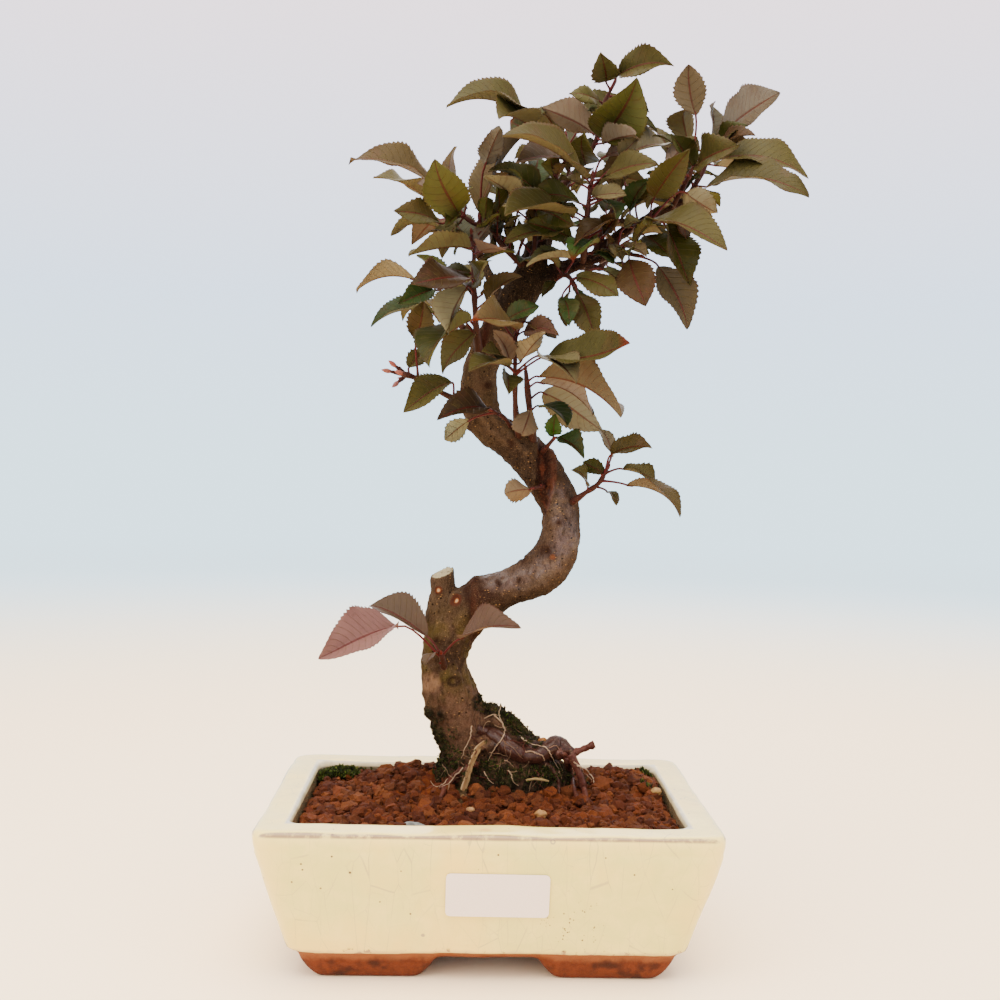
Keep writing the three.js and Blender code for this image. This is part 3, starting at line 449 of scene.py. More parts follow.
def glaze_cracks(f):
    """Fine cracks, mostly upright, of two sizes."""
    tall, fine = f.seams(11, f.stretched(1, 1, 0.17)), f.seams(6.5, f.stretched(1, 1, 0.3))
    lines = f.times(f.step(tall, 0.013, 0.002), f.step(f.noise(20, 2), 0.42, 0.6, 0.1, 0.7))
    return f.larger(lines, f.times(f.step(fine, 0.014, 0.003), f.step(f.noise(30, 2), 0.42, 0.6, 0, 0.45)))


def glaze_specks(f):
    """Pinholes and specks of iron, with a crowd of them low on the front."""
    speck = f.dots(4.5, 0, (0.78, 0.82), (0.13, 0.08))
    crowd = f.times(f.spot((39, -70, 30), 8, 12), f.step(f.cells(1.7)[0], 0.27, 0.16))
    speck = f.larger(speck, f.times(crowd, f.step(f.noise(5, 2), 0.5, 0.6)))
    for place in DARK_DOTS:
        speck = f.larger(speck, f.spot(place, 0.5, 0.3))
    return speck


def glaze_edges(f, glaze, low):
    """The glaze breaks to mauve-brown along the outer edge of the rim and at its low edge."""
    x, y, z = f.split(f.where)
    out = f.larger(*(f.minus(f.positive(v), half - 1.9) for v, half in ((x, POT_HALF.x), (y, POT_HALF.y))))
    edge = f.times(f.step(out, 0, 0.8), f.step(z, POT_HEIGHT - 2.8, POT_HEIGHT - 1.6))
    edge = f.times(edge, f.step(f.noise(9, 5, 0.7), 0.34, 0.52, 0.3, 1))
    glaze = f.mix(f.times(edge, 0.85), glaze, "6f5348")
    chips = f.times(f.step(low, 17.2, 15.2), f.step(f.noise(4, 3), 0.56, 0.64))
    glaze = f.mix(chips, glaze, "7a5a3c")
    return f.mix(f.times(f.step(low, 16.4, 14.6), 0.5), glaze, "b39c74")


def inner_wall(f, glaze, cloud):
    """Glaze inside the opening painted paler, as painted light against its shade, brown at its edge, with
    dust and painted shade low down and painted shade and dirt in a dark line where it meets the soil.
    """
    x, y, z = f.split(f.where)
    inside = f.times(f.step(f.positive(x), 97, 95), f.step(f.positive(y), 63, 61))
    brink = f.times(f.step(f.positive(x), 96.1, 95.3), f.step(f.positive(y), 62.1, 61.3))
    brink = f.times(brink, f.step(z, POT_HEIGHT - 1.5, POT_HEIGHT - 0.8))
    brink = f.times(brink, f.step(f.noise(8, 5, 0.7), 0.36, 0.54, 0.2, 0.85))
    glaze = f.mix(brink, glaze, "705645")
    # Painted light: the inner walls made paler to offset their shade and the warm glow the soil throws on
    # them.
    glaze = f.mix(f.times(inside, 0.7), glaze, "c9c0a4")
    # Dust and painted shade, darker towards the soil.
    dust = f.plus(f.step(z, 74, 71, 0.05, 0.3), f.step(cloud, 0.35, 0.65, -0.1, 0.2))
    glaze = f.mix(f.times(inside, dust), glaze, "5d4430")
    # Painted shade and dirt: a dark line where the wall meets the soil.
    return f.mix(f.times(inside, f.step(f.plus(z, cloud), 72.4, 71, 0, 0.85)), glaze, "2b1d12")


def foot_clay(f, low):
    clay = f.mix(f.step(f.noise(3.2, 6, 0.65), 0.35, 0.7), "5f2a12", "4c200c")
    clay = f.mix(f.step(f.noise(13, 3), 0.48, 0.62, 0, 0.75), clay, "260f07")
    return f.mix(f.step(low, 8.8, 13, 0, 0.85), clay, "7e4a2a")


def paper_finish():
    f = Finish("matt_white_paper", Specular_IOR_Level=0.35)
    fibre = f.noise(0.5, 5, 0.7)
    base = f.mix(f.step(fibre, 0.3, 0.7), "e6d6c8", "dccbbd")
    return f.use(base, f.step(fibre, 0.3, 0.7, 0.42, 0.55), f.bump(fibre, 0.03))


def net_finish():
    f = Finish("moulded_green_plastic", Roughness=0.45)
    grain = f.noise(0.7, 4)
    return f.use(f.mix(grain, "1d2b24", "2b3b31"), None, f.bump(grain, 0.05))


def soil_finish(name, stored):
    """Fired red-brown clay grains. Loose grains carry their own tone."""
    f = Finish(name, Specular_IOR_Level=0.1)
    coarse = f.noise(2.6, 5, 0.62)
    dust = f.noise(0.55, 4, 0.7)
    base = f.mix(f.step(coarse, 0.3, 0.72), "3f1708", "592a0c")
    if stored:
        base = f.mix(0.72, base, f.stored("tone"))
    base = f.mix(f.step(dust, 0.55, 0.75, 0, 0.55), base, "6c3e20")
    base = f.mix(f.step(dust, 0.46, 0.3, 0, 0.75), base, "200b04")
    rise = f.bump(f.plus(coarse, f.times(dust, 0.5)), 0.9, 0.9)
    return f.use(base, f.step(dust, 0.3, 0.7, 0.78, 0.95), rise)


def stone_finish(name, dark, light):
    f = Finish(name, Specular_IOR_Level=0.08)
    cloud = f.noise(2.4, 6, 0.65)
    grain = f.noise(0.5, 3)
    base = f.mix(f.step(cloud, 0.35, 0.65), dark, light)
    base = f.mix(f.step(grain, 0.6, 0.72, 0, 0.3), base, "b8aa90")
    return f.use(base, f.step(grain, 0.3, 0.7, 0.45, 0.7), f.bump(cloud, 0.35))


def moss_finish(name, stored):
    f = Finish(name, Specular_IOR_Level=0.1, Roughness=0.8)
    patches = f.mix(f.step(f.noise(2.5, 3), 0.35, 0.65), "14170a", "3a3d16")
    return f.use(f.mix(0.3, f.stored("tone"), patches) if stored else patches)


def bark_finish(cuts):
    """Bark, cut wood and roots: the broad tones are painted on the points, the grain is here."""
    f = Finish("apple_bark", Specular_IOR_Level=0.02, Coat_Roughness=0.25)
    bare, gloss = f.stored("bare", "Fac"), f.stored("gloss", "Fac")
    grain = f.noise(2.4, 8, 0.68, f.stretched(1, 1, 0.42), 0.5)
    fine = f.noise(0.7, 6, 0.7)
    speckle = f.noise(0.36, 3, 0.6)
    base = f.mix(f.step(grain, 0.32, 0.5, 0.7, 0), f.stored("tone"), "140a06")
    base = f.mix(f.step(grain, 0.55, 0.78, 0, 0.42), base, "6a5542")
    base = f.mix(f.step(fine, 0.54, 0.7, 0, 0.45), base, "64503c")
    base = f.mix(f.step(fine, 0.46, 0.3, 0, 0.75), base, "0d0704")
    base = f.mix(f.times(f.step(speckle, 0.58, 0.7, 0, 0.4), bare), base, "7d6347")

    # Pale breathing pores, wide across the limb, and dark pits.
    pore = f.times(f.dots(2.6, 1, (0.66, 0.72), (0.21, 0.12), f.stretched(1, 1, 2.1)), bare)
    pit = f.times(f.dots(3.4, 2, (0.5, 0.55), (0.19, 0.1)), bare)
    base = f.mix(f.times(pore, 0.75), base, "8a6338")
    base = f.mix(pit, base, "0c0604")
    # Painted shade in the knots' pits and the fork's crease.
    base = f.mix(f.times(f.stored("dent_shade", "Fac"), 0.68), base, "26130c")
    for place, radius, collar in cuts:
        ring = f.times(f.spot(place, collar, 1.2), f.step(fine, 0.34, 0.6, 0.5, 1))
        base = f.mix(ring, base, "38190f")
        base = f.mix(f.spot(place, radius * 0.7, 0.9), base, "6a3d22")
        base = f.mix(f.spot(place, radius * 0.5, 0.6), base, "8f6f4c")

    wrinkles = f.noise(1.3, 5, 0.6, f.stretched(0.5, 0.5, 2.2), 0.8)
    height = f.plus(f.times(grain, 0.8), f.times(wrinkles, 0.35))
    height = f.plus(height, f.times(f.minus(pore, pit), 0.5))
    streak = f.times(f.step(grain, 0.36, 0.5, 0.5, 1), f.step(fine, 0.34, 0.6, 0.45, 1))
    f.put(f.shader.inputs["Coat Weight"], f.times(gloss, streak))
    skin = f.plus(f.step(gloss, 0, 1, 0.72, 0.46), f.step(fine, 0.3, 0.7, -0.06, 0.1))
    return f.use(base, skin, f.bump(height, 0.6, 0.85, f.bump(fine, 0.24, 0.75)))


def leaf_finish():
    """Both faces of a blade: tone and underside are stored, veins follow the blade's own places."""
    f = Finish("apple_leaf", Specular_IOR_Level=0.05)
    along, across, face = f.split(f.stored("blade", "Vector"))
    wide = f.positive(across)
    length, _, burnt = f.split(f.stored("leaf", "Vector"))
    under = f.step(face, 0.2, -0.2)
    mottle = f.noise(3.6, 5, 0.6)
    broad = f.noise(11, 3)
    base = f.mix(under, f.stored("upper"), f.stored("under"))
    base = f.mix(f.step(broad, 0.5, 0.68, 0, 0.45), base, f.mix(0.5, base, "43241a"))
    base = f.mix(f.step(mottle, 0.5, 0.75, 0, 0.3), base, f.mix(0.5, base, "554a22"))
    base = f.mix(f.step(mottle, 0.45, 0.25, 0, 0.4), base, f.mix(0.5, base, "181407"))

    # Side veins leave the rib forward and bend towards the tip.
    bend = f.times(f.calculate("POWER", wide, VEIN_BEND), f.times(length, VEIN_LEAN))
    run = f.minus(f.times(along, length), bend)
    phase = f.calculate("PINGPONG", f.calculate("DIVIDE", run, VEIN_PITCH), 0.5)
    vein = f.times(f.step(phase, 0.085, 0.02), f.step(wide, 0.98, 0.7))
    rib = f.step(wide, 0.07, 0.025)
    base = f.mix(f.times(vein, 0.3), base, f.mix(under, "413318", "593c2a"))
    base = f.mix(f.step(f.seams(0.95), 0.12, 0.02, 0, 0.03), base, "4d3f20")
    base = f.mix(f.times(rib, 0.75), base, f.mix(under, "3c1010", "4a231b"))
    margin = f.times(f.step(wide, 0.84, 1), f.step(f.noise(6, 2), 0.4, 0.6, 0.25, 0.8))
    base = f.mix(margin, base, f.mix(0.6, base, "36140e"))
    base = f.mix(burnt, base, f.mix(f.noise(3, 3), "43150b", "522412"))
    shine = f.step(under, 0, 1, f.step(mottle, 0.3, 0.7, 0.36, 0.5), 0.68)
    sunk = f.times(f.plus(vein, f.times(rib, 1.4)), f.step(face, -0.2, 0.2, 1, -1))
    return f.use(base, shine, f.bump(sunk, 0.22, 0.8))


def stalk_finish():
    """Leaf stalks, young wood and buds: red-brown skin with pale flecks."""
    f = Finish("young_red_wood", Specular_IOR_Level=0.04)
    fleck = f.cells(1.6, f.stretched(1, 1, 1.4))[0]
    base = f.mix(0.25, f.stored("upper"), f.mix(f.noise(2.5, 4), "240d09", "4c261e"))
    base = f.mix(f.step(fleck, 0.16, 0.08, 0, 0.6), base, "755644")
    return f.use(base, f.step(f.noise(1.5, 3), 0.3, 0.7, 0.38, 0.55), f.bump(f.noise(0.8, 4), 0.15))


# The pot

def build_pot():
    """The pot with a hand-made waver, a roll of glaze at its foot and a shallow groove under the rim."""
    mesh = remeshed("pot", 1.6, 7)
    points, normals = places_of(mesh), normals_of(mesh)
    height = points[:, 2]
    waver = rough(points, 46, 2, 1) * 0.75 + rough(points, 13, 2, 2) * 0.16
    roll = np.exp(-((height - 15.6) / 1.2) ** 2) * 0.5
    groove = np.exp(-((height - 65) / 1.6) ** 2) * (0.25 + 0.25 * rough(points, 21, 2, 3))
    outside = np.maximum(np.abs(points[:, 0]) / POT_HALF.x, np.abs(points[:, 1]) / POT_HALF.y) > 0.82
    feet = height < 1.5
    shift = np.where(feet, 0, waver + np.where(outside, roll - groove, 0))
    set_places(mesh, points + normals * shift[:, None])
    finish_piece("glazed_pot", mesh, "pot_glaze", [glaze_finish()], replaces=("pot",))


def give(node, material):
    """A CAD node keeps its shape and takes a finish."""
    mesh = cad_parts[node].data
    mesh.materials.clear()
    mesh.materials.append(material)


# Soil, stones and moss

def ball(subdivisions):
    mesh = bmesh.new()
    bmesh.ops.create_icosphere(mesh, subdivisions=subdivisions, radius=1)
    points = np.array([v.co for v in mesh.verts])
    faces = [tuple(v.index for v in f.verts) for f in mesh.faces]
    mesh.free()
    return points, faces


# Where the root mass leaves the soil, and the grains: the step of their grid, their radii, how many
# smaller ones lie scattered, and their tones.
ROOT_FOOT = 74.0
GRAIN_PITCH = 4.3
GRAIN_RADII = (1.7, 2.2, 2.7, 3.2, 3.9, 4.6)
LOOSE_GRAINS = 720
GRAIN_TONES = ["4a220c", "3d1b09", "51280f", "331407", "583016", "280f06", "432513"]


def grain_spots(draw):
    """An even layer of grains, and smaller ones scattered on it: x, y, radius and lift."""
    spots = []
    nx, ny = (int(half / GRAIN_PITCH) for half in SOIL_HALF)
    for i in range(-nx, nx + 1):
        for j in range(-ny, ny + 1):
            x, y = ((k + draw.uniform(-0.45, 0.45)) * GRAIN_PITCH for k in (i, j))
            spots.append((x, y, draw.choice(GRAIN_RADII), draw.uniform(-1.4, 2.0)))
    for _ in range(LOOSE_GRAINS):
        x, y = (draw.uniform(-1, 1) * half for half in SOIL_HALF)
        spots.append((x, y, draw.uniform(1.0, 2.1), draw.uniform(1.6, 3.0)))
    return spots


def build_grains(solid_tree):
    """Loose grains over the soil, none of them under the wood."""
    draw = random.Random(21)
    unit, faces = ball(2)
    shape = Shape()
    for x, y, radius, lift in grain_spots(draw):
        inset = radius * 0.7
        x, y = (max(inset - half, min(half - inset, v)) for v, half in zip((x, y), SOIL_HALF))
        at_wall = min(SOIL_HALF[0] - abs(x), SOIL_HALF[1] - y) < 5
        z = soil_height(x, y) + lift - (1.6 if at_wall else 0)
        above = below(solid_tree, x, y)[0]
        if above and above.z > max(z + 0.4 * radius, ROOT_FOOT):
            continue
        if above:
            z = max(z, above.z + 0.2 * radius)
        spin, tip = draw.uniform(0, FULL_TURN), draw.uniform(-0.6, 0.6)
        turn = Matrix.Rotation(spin, 3, "Z") @ Matrix.Rotation(tip, 3, "X")
        size = Matrix.Diagonal((draw.uniform(0.8, 1.25), draw.uniform(0.75, 1.1), draw.uniform(0.7, 1.0)))
        knobs = 1 + 0.55 * rough(unit, 0.55, 2, draw.uniform(0, 900))
        points = (unit * knobs[:, None]) @ np.array((turn @ size).transposed()) * radius + (x, y, z)
        shade = draw.uniform(0.36, 1.2)
        tone = (*(c * shade for c in colour(draw.choice(GRAIN_TONES))), 1)
        shape.add(points.tolist(), faces, 0, (tone,))
    shape.piece("soil_grains", "soil_grains", [soil_finish("red_clay_grains", True)], ["tone"], smooth=False)


# Name, place, half sizes, and light and dark tones.
STONES = [
    ("tan_pebble_front", (25.5, -31), (3.2, 2.6, 2.4), "84633c", "6b4825"),
    ("tan_pebble_left", (-9, -32), (2.0, 1.8, 1.6), "836341", "604024"),
    ("tan_pebble_right", (88.5, 6), (2.6, 2.4, 2.0), "896c41", "694b25"),
    ("tan_pebble_root", (28.3, 8), (2.6, 2.3, 2.0), "84572b", "693e19"),
]
PEBBLE_SEAT = 0.25


def rock(name, middle, size, material, slot, seed, replaces=()):
    unit, faces = ball(4)
    points = unit * (1 + 0.22 * rough(unit, 0.9, 4, seed))[:, None] * np.array(size) + np.array(middle)
    new_piece(name, points, faces, slot, [material], replaces=replaces)


def build_stones(tree):
    low, high = (to_mm(corner)[0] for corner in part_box("grey_stone"))
    grey = stone_finish("grey_stone", "464846", "686a67")
    size = (high - low) / 2 * (1, 1, 1.05)
    rock("grey_pebble", (low + high) / 2, size, grey, "grey_stone", 4, ("grey_stone",))
    for i, (name, (x, y), size, light, dark) in enumerate(STONES):
        middle = (x, y, below(tree, x, y)[0].z + size[2] * PEBBLE_SEAT)
        rock(name, middle, size, stone_finish(name, dark, light), "grey_stone", 7 + i)


MOSS_TONES = ["1e2607", "2a350c", "384311", "151a07", "4c561b", "0c1005"]
ROOT_MOSS_TONES = ["1a1c09", "26260f", "12130a", "30290f", "1e2509", "3a3415"]
CUSHION_TUFTS = 620
CRUST_TUFTS = 1500

# A leaflet's faces: points 0 and 1 are its foot, 2 and 3 its middle, 4 its tip and 5 its back.
TUFT_FACES = [(0, 1, 2, 3), (3, 2, 4), (1, 0, 5), (2, 1, 5), (0, 3, 5), (4, 2, 5), (3, 4, 5)]

# Moss in the soil's corners: x, y, spread and how many tufts.
CORNER_MOSS = [(-75, 55, 7, 60), (90, 46, 4, 60), (87, 14, 3, 20)]

# Patches on the root mass: x, z, width, height and how many tufts.
MOSS_PATCHES = [
    (-18, 90, 8.5, 9, 70), (-9, 84, 6, 4, 30), (1, 87, 6, 4, 40), (15, 84, 9, 4, 50),
    (33, 84, 7.5, 5, 70), (27, 80, 8, 3, 40), (-20, 101, 3, 8, 22), (12, 108, 5, 4, 34),
    (20, 101, 5, 3, 26), (42, 82, 6, 4, 26), (-26, 84, 4, 6, 26), (7, 81, 10, 3, 36),
]
GREEN_PATCHES = [
    (10.5, 110.5, 4, 4, 30), (29, 84.5, 6, 5, 60), (1.5, 88.5, 5, 4, 36), (-19.5, 91, 5, 8, 36),
    (34, 80, 5, 3, 24),
]


def tuft(shape, at, up, height, draw, tones):
    """A few pointed leaflets that spread from one foot."""
    side = up.orthogonal().normalized()
    for _ in range(draw.choice((3, 4, 5))):
        lean = Matrix.Rotation(draw.uniform(0, FULL_TURN), 3, up) @ side
        tip = at + up * height * draw.uniform(0.6, 1.1) + lean * height * draw.uniform(0.2, 0.85)
        across = up.cross(lean) * height * 0.16
        foot = at + lean * height * 0.1
        middle = foot.lerp(tip, 0.55) + up * height * 0.14
        points = [foot - across, foot + across, middle + across * 1.1, middle - across * 1.1, tip]
        points.append(foot.lerp(tip, 0.5))
        tone = colour(draw.choice(tones))
        shape.add(points, TUFT_FACES, 0, ((*(c * draw.uniform(0.7, 1.2) for c in tone), 1),))


def build_moss(ground):
    """Moss on its cushion, in the soil's corners, over the root mass's crust and in patches on it."""
    draw = random.Random(5)
    shape = Shape()
    low, high = (to_mm(corner)[0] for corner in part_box("moss_clump"))
    middle = (low + high) / 2
    for _ in range(CUSHION_TUFTS):
        turn, reach = draw.uniform(0, FULL_TURN), math.sqrt(draw.uniform(0, 1))
        x = max(-91.0, middle[0] - 3 + 11.5 * reach * math.cos(turn))
        y = middle[1] + 9 * reach * math.sin(turn)
        foot, up = below(ground, x, y)
        if foot:
            spread = Vector((math.cos(turn) * reach * 0.5, math.sin(turn) * reach * 0.5, 1))
            up = (up * 0.4 + spread).normalized()
            tuft(shape, foot - up * 0.3, up, draw.uniform(1.6, 3.2), draw, MOSS_TONES)
    for x, y, spread, count in CORNER_MOSS:
        for _ in range(count):
            at_x, at_y = x + draw.gauss(0, spread), min(58, y + draw.gauss(0, 2.5))
            foot = below(ground, at_x, at_y)[0]
            if foot and abs(at_x) < SOIL_HALF[0]:
                tuft(shape, foot, Vector((0, 0, 1)), draw.uniform(1.4, 2.6), draw, MOSS_TONES)
    for at, normal in crust_places(draw):
        up = (Vector(normal) + Vector((0, 0, 0.5))).normalized()
        tuft(shape, Vector(at) - up * 0.3, up, draw.uniform(0.6, 1.8), draw, ROOT_MOSS_TONES)
    patches = [(*row, ROOT_MOSS_TONES) for row in MOSS_PATCHES]
    patches += [(*row, MOSS_TONES) for row in GREEN_PATCHES]
    for x, z, wide, tall, count, tones in patches:
        for _ in range(count):
            foot, up = behind(ground, x + draw.gauss(0, wide / 2), z + draw.gauss(0, tall / 2))
            if foot and foot.y < 40:
                up = (up + Vector((0, 0, 0.5))).normalized()
                tuft(shape, foot - up * 0.2, up, draw.uniform(0.7, 1.9), draw, tones)
    shape.piece("moss_tufts", "moss_green", [moss_finish("living_moss", True)], ["tone"], smooth=False)


def crust_places(draw):
    """Places and normals drawn from the crust of the root mass, from all round."""
    bark = bpy.data.objects["bark_and_roots"].data
    skin = np.zeros(len(bark.vertices), np.float32)
    bark.attributes["bare"].data.foreach_get("value", skin)
    places, ups = places_of(bark), normals_of(bark)
    low = (places[:, 2] > ROOT_FOOT) & (places[:, 2] < 124)
    for i in draw.sample(list(np.flatnonzero((skin < 0.3) & low & (ups[:, 2] > -0.4))), CRUST_TUFTS):
        yield places[i], ups[i]


# The trunk

def near_line(xs, zs, line):
    """The distance to a line of places and how far along it the nearest spot lies, from 0 to 1."""
    best = np.full(len(xs), 1e9)
    share = np.zeros(len(xs))
    for i, ((ax, az), (bx, bz)) in enumerate(zip(line, line[1:])):
        dx, dz = bx - ax, bz - az
        t = np.clip(((xs - ax) * dx + (zs - az) * dz) / (dx ** 2 + dz ** 2), 0, 1)
        gap = np.hypot(xs - ax - t * dx, zs - az - t * dz)
        closer = gap < best
        best = np.where(closer, gap, best)
        share = np.where(closer, (i + t) / (len(line) - 1), share)
    return best, share


# Marks on the wood, by x and z of the seen plane. Knots have a radius and a rise, fresh cuts a radius
# and a collar's.
KNOTS = [
    (3.5, 182, 2.6, 1.0), (-8, 183, 2.2, 0.8), (28.3, 199.5, 4.4, 1.3), (31, 196, 2.2, 0.6),
    (16, 195, 3.0, 1.3), (-14, 264, 3, 0.8), (10, 262, 2.6, 0.7), (-5, 284, 2.4, 0.6),
    (14, 184, 1.8, 0.6), (34, 214, 2, 0.5), (-28, 152, 2.4, 0.6), (9, 255, 3, 0.8),
]
FRESH_CUTS = [(-27.6, 178, 1.1, 1.6), (-18.2, 172.8, 1.4, 3.0)]
EYE_KNOT = (-19, 131)
PEELED = (-31, 130, 3.6, 2.6)
STUB = (-26, 180)
HOLLOW = [(24.5, 257), (25.5, 248), (26, 237), (25.5, 228), (26, 219)]
HOLLOW_RIM = [(26.5, 256), (30, 248), (31, 239), (29.5, 229), (27, 220)]
# Sheen lines carry a painted highlight in the colour as well as gloss.
SHEEN = [
    [(0, 184), (6, 184)], [(14, 184.5), (23.5, 188), (30, 194), (35, 201)],
    [(38, 204), (37, 213), (35, 221), (33, 229)],
]
DARK_CUT = [(-3, 322), (-6, 312), (-8, 302)]
RIDGES = [[(-9, 271), (-3, 262), (6, 255)], [(-2, 268), (8, 258), (16, 250)]]
FORK = [(-14, 180), (-11, 170), (-9, 160), (-8, 150)]
# Under the hump's edge a dark band of crust is laid that is partly painted shade.
HUMP = [(-4, 120), (8, 116), (15, 109), (23, 102), (30, 100)]
DEAD_ROOT = [(-2, 99.5), (-5.5, 96), (-8.5, 89.5), (-10.8, 82), (-13.8, 70)]
RED_ROOTS = [
    [(-8, 88), (-15, 83), (-21, 77.5), (-24, 70)], [(38, 95), (43, 91), (47, 84), (50, 76), (51, 68)],
    [(38, 94), (43, 94.5), (49.5, 96), (54, 98.5)],
]
THICK_ROOT = [(6, 99), (14, 96.5), (25, 95.5), (36, 95), (41, 94)]


def bulge(gap, width):
    """1 where the gap is 0, fading over that width to both sides."""
    return np.exp(-(gap / width) ** 2)


class Bark:
    """The wood's skin, point by point: where it is, how far it rises, and what is painted on it."""

    def __init__(self, points, normals):
        self.points, self.normals = points, normals
        self.xs, self.zs = seen_plane(points)
        self.front = np.clip(0.55 - normals[:, 1] * 1.8, 0, 1)
        sizes = ((1, 14), (2, 4.5), (3, 1.9))
        self.broad, self.middle, self.small = (rough(points, size, 3, seed) for seed, size in sizes)
        self.upright = rough(points * (1, 1, 0.35), 2.6, 3, 4)
        edges = np.array([noise.voronoi(Vector(p * (1, 1, 0.45)) / 3.4)[0][:2] for p in points])
        self.cracks = climb(edges[:, 1] - edges[:, 0], 0.28, 0) * np.clip((168 - self.zs) / 24, 0.12, 1)
        self.rise = 0.5 * self.broad + 0.42 * self.middle + 0.24 * self.small
        self.rise += 0.3 * self.upright + 0.35 - 0.5 * self.cracks
        self.tone = np.tile(np.array(colour("3a2b21")), (len(points), 1))
        self.gloss, self.bare, self.dent_shade = np.zeros(len(points)), np.ones(len(points)), np.zeros(len(points))

    def paint(self, share, tone):
        """The tone laid over what is there, by a share for each point."""
        self.tone = self.tone * (1 - share[:, None]) + np.array(colour(tone)) * share[:, None]

    def darken(self, share):
        self.tone = self.tone * (1 - share)[:, None]

    def shine(self, gloss):
        self.gloss = np.maximum(self.gloss, gloss)

    def gap_to(self, line):
        return near_line(self.xs, self.zs, line)[0]

    def ridge(self, line, width):
        """1 on a line on the side that is seen, fading over that width to both sides."""
        return bulge(self.gap_to(line), width) * self.front

    def near(self, x, z, radius, soft):
        """1 within a radius of a place in the seen plane, falling to 0 over a soft edge."""
        return np.clip((radius + soft - np.hypot(self.xs - x, self.zs - z)) / soft, 0, 1)


def crust_and_shade_share(b):
    """Where crust and moss hide the wood, along the hump also standing for painted shade under its edge: at
    the right, low at the left, along a hump, at the foot.
    """
    right = climb(b.zs, 118, 108) * climb(b.xs - (118 - b.zs) * 0.1, 6, 11) * climb(b.zs, 98, 104)
    left = climb(b.xs + (b.zs - 100) * 0.08, -20.5, -23.5) * climb(b.zs, 122, 114)
    return np.clip(right + left + climb(b.gap_to(HUMP), 6.5, 4.5) + climb(b.zs, 92, 87) * 0.9, 0, 1)


def paint_broad_tones(b):
    """Cracks, clouds of brown and of green, the dark bend, the dim waist, the sheen painted as a highlight,
    painted shade on undersides and the dark top, which is painted shade under the crown.
    """
    b.paint(b.cracks * 0.7, "1c110b")
    b.paint(np.clip(0.5 + b.broad * 1.2, 0, 1) * 0.5, "4d3a2c")
    b.paint(np.clip(b.middle * 1.5, 0, 1) * 0.5, "301f14")
    algae = np.clip(0.45 + b.broad * 1.6 + b.middle * 0.6, 0, 1)
    b.paint(algae * climb(b.zs, 176, 156) * climb(b.zs, 118, 132) * 0.75, "3d3314")
    b.paint(climb(b.zs, 132, 122) * np.clip(0.7 - b.middle, 0, 1) * 0.6, "503628")
    bend = climb(b.zs, 160, 172) * climb(b.zs + (b.xs - 5) * 0.35, 186, 174) * climb(b.xs, -16, -8)
    b.paint(bend * np.clip(0.95 - b.broad, 0, 1) * 0.85, "1f0e09")
    waist = climb(b.zs, 194, 208) * climb(b.zs, 274, 264)
    b.darken(0.42 * waist * np.clip(0.9 - b.broad, 0, 1))
    for line in SHEEN:
        sheen = climb(b.gap_to(line), 7, 3) * b.front * np.clip(0.8 + 0.6 * b.broad + 0.6 * b.middle, 0, 1)
        # Painted highlight: a paler grey-brown laid into the colour along the sheen, beside the real gloss.
        b.paint(sheen * 0.55, "493731")
        b.shine(sheen * 0.55)
    # Painted shade: undersides darker the more their normals point down.
    b.darken(0.55 * np.clip(-b.normals[:, 2] * 1.2, 0, 1))
    b.paint(climb(b.zs, 156, 164) * climb(b.xs, -12, -17) * 0.5, "2e2114")
    high = climb(b.zs, 246, 262)
    b.paint(high * np.clip(0.85 - 0.35 * waist, 0, 1), "3d2d20")
    b.paint(high * np.clip(b.broad * 1.6 + 0.25, 0, 1) * 0.5, "342917")
    # Painted shade under the crown: the top of the trunk, and its right side up there, made nearly black.
    b.paint(climb(b.zs, 300, 324) * 0.85, "140c07")
    b.paint(climb(b.xs, 24, 30) * climb(b.zs, 300, 310) * 0.8, "1e0d0c")


def add_knots(b):
    """The eye knot, the peeled patch, small knots and the fresh cuts."""
    eye = np.hypot((b.xs - EYE_KNOT[0]) / 1.25, b.zs - EYE_KNOT[1])
    b.rise += bulge(eye - 3.1, 0.8) * b.front * 0.9 - bulge(eye, 1.9) * 0.7 * b.front
    b.paint(bulge(eye - 2.1, 0.9) * b.front * 0.95, "1a0e08")
    peel = b.near(*PEELED) * b.front * np.clip(0.9 + b.middle, 0, 1)
    b.rise -= peel * 0.45
    b.paint(peel * 0.85, "6b503c")
    b.bare *= 1 - peel
    for x, z, radius, lift in KNOTS:
        gap = np.hypot(b.xs - x, b.zs - z)
        b.rise += (bulge(gap, radius) * 1.5 - bulge(gap, radius * 0.4) * 1.6) * lift * b.front
        spot = bulge(gap, radius * 0.85) * b.front
        b.paint(spot * 0.9, "180b06")
        b.gloss *= 1 - spot
        # Painted shade in the knot's pit, over its own dark wood, laid on again in the finish.
        b.dent_shade = np.maximum(b.dent_shade, spot * np.clip(0.8 + b.small, 0.3, 1))
    b.paint(b.near(31, 196, 0.8, 0.8) * b.front * 0.8, "6a3a22")
    for x, z, radius, collar in FRESH_CUTS:
        b.rise += bulge(np.hypot(b.xs - x, b.zs - z) - collar, 1.1) * 0.5 * collar * b.front
        b.bare *= 1 - b.near(x, z, radius, 1)


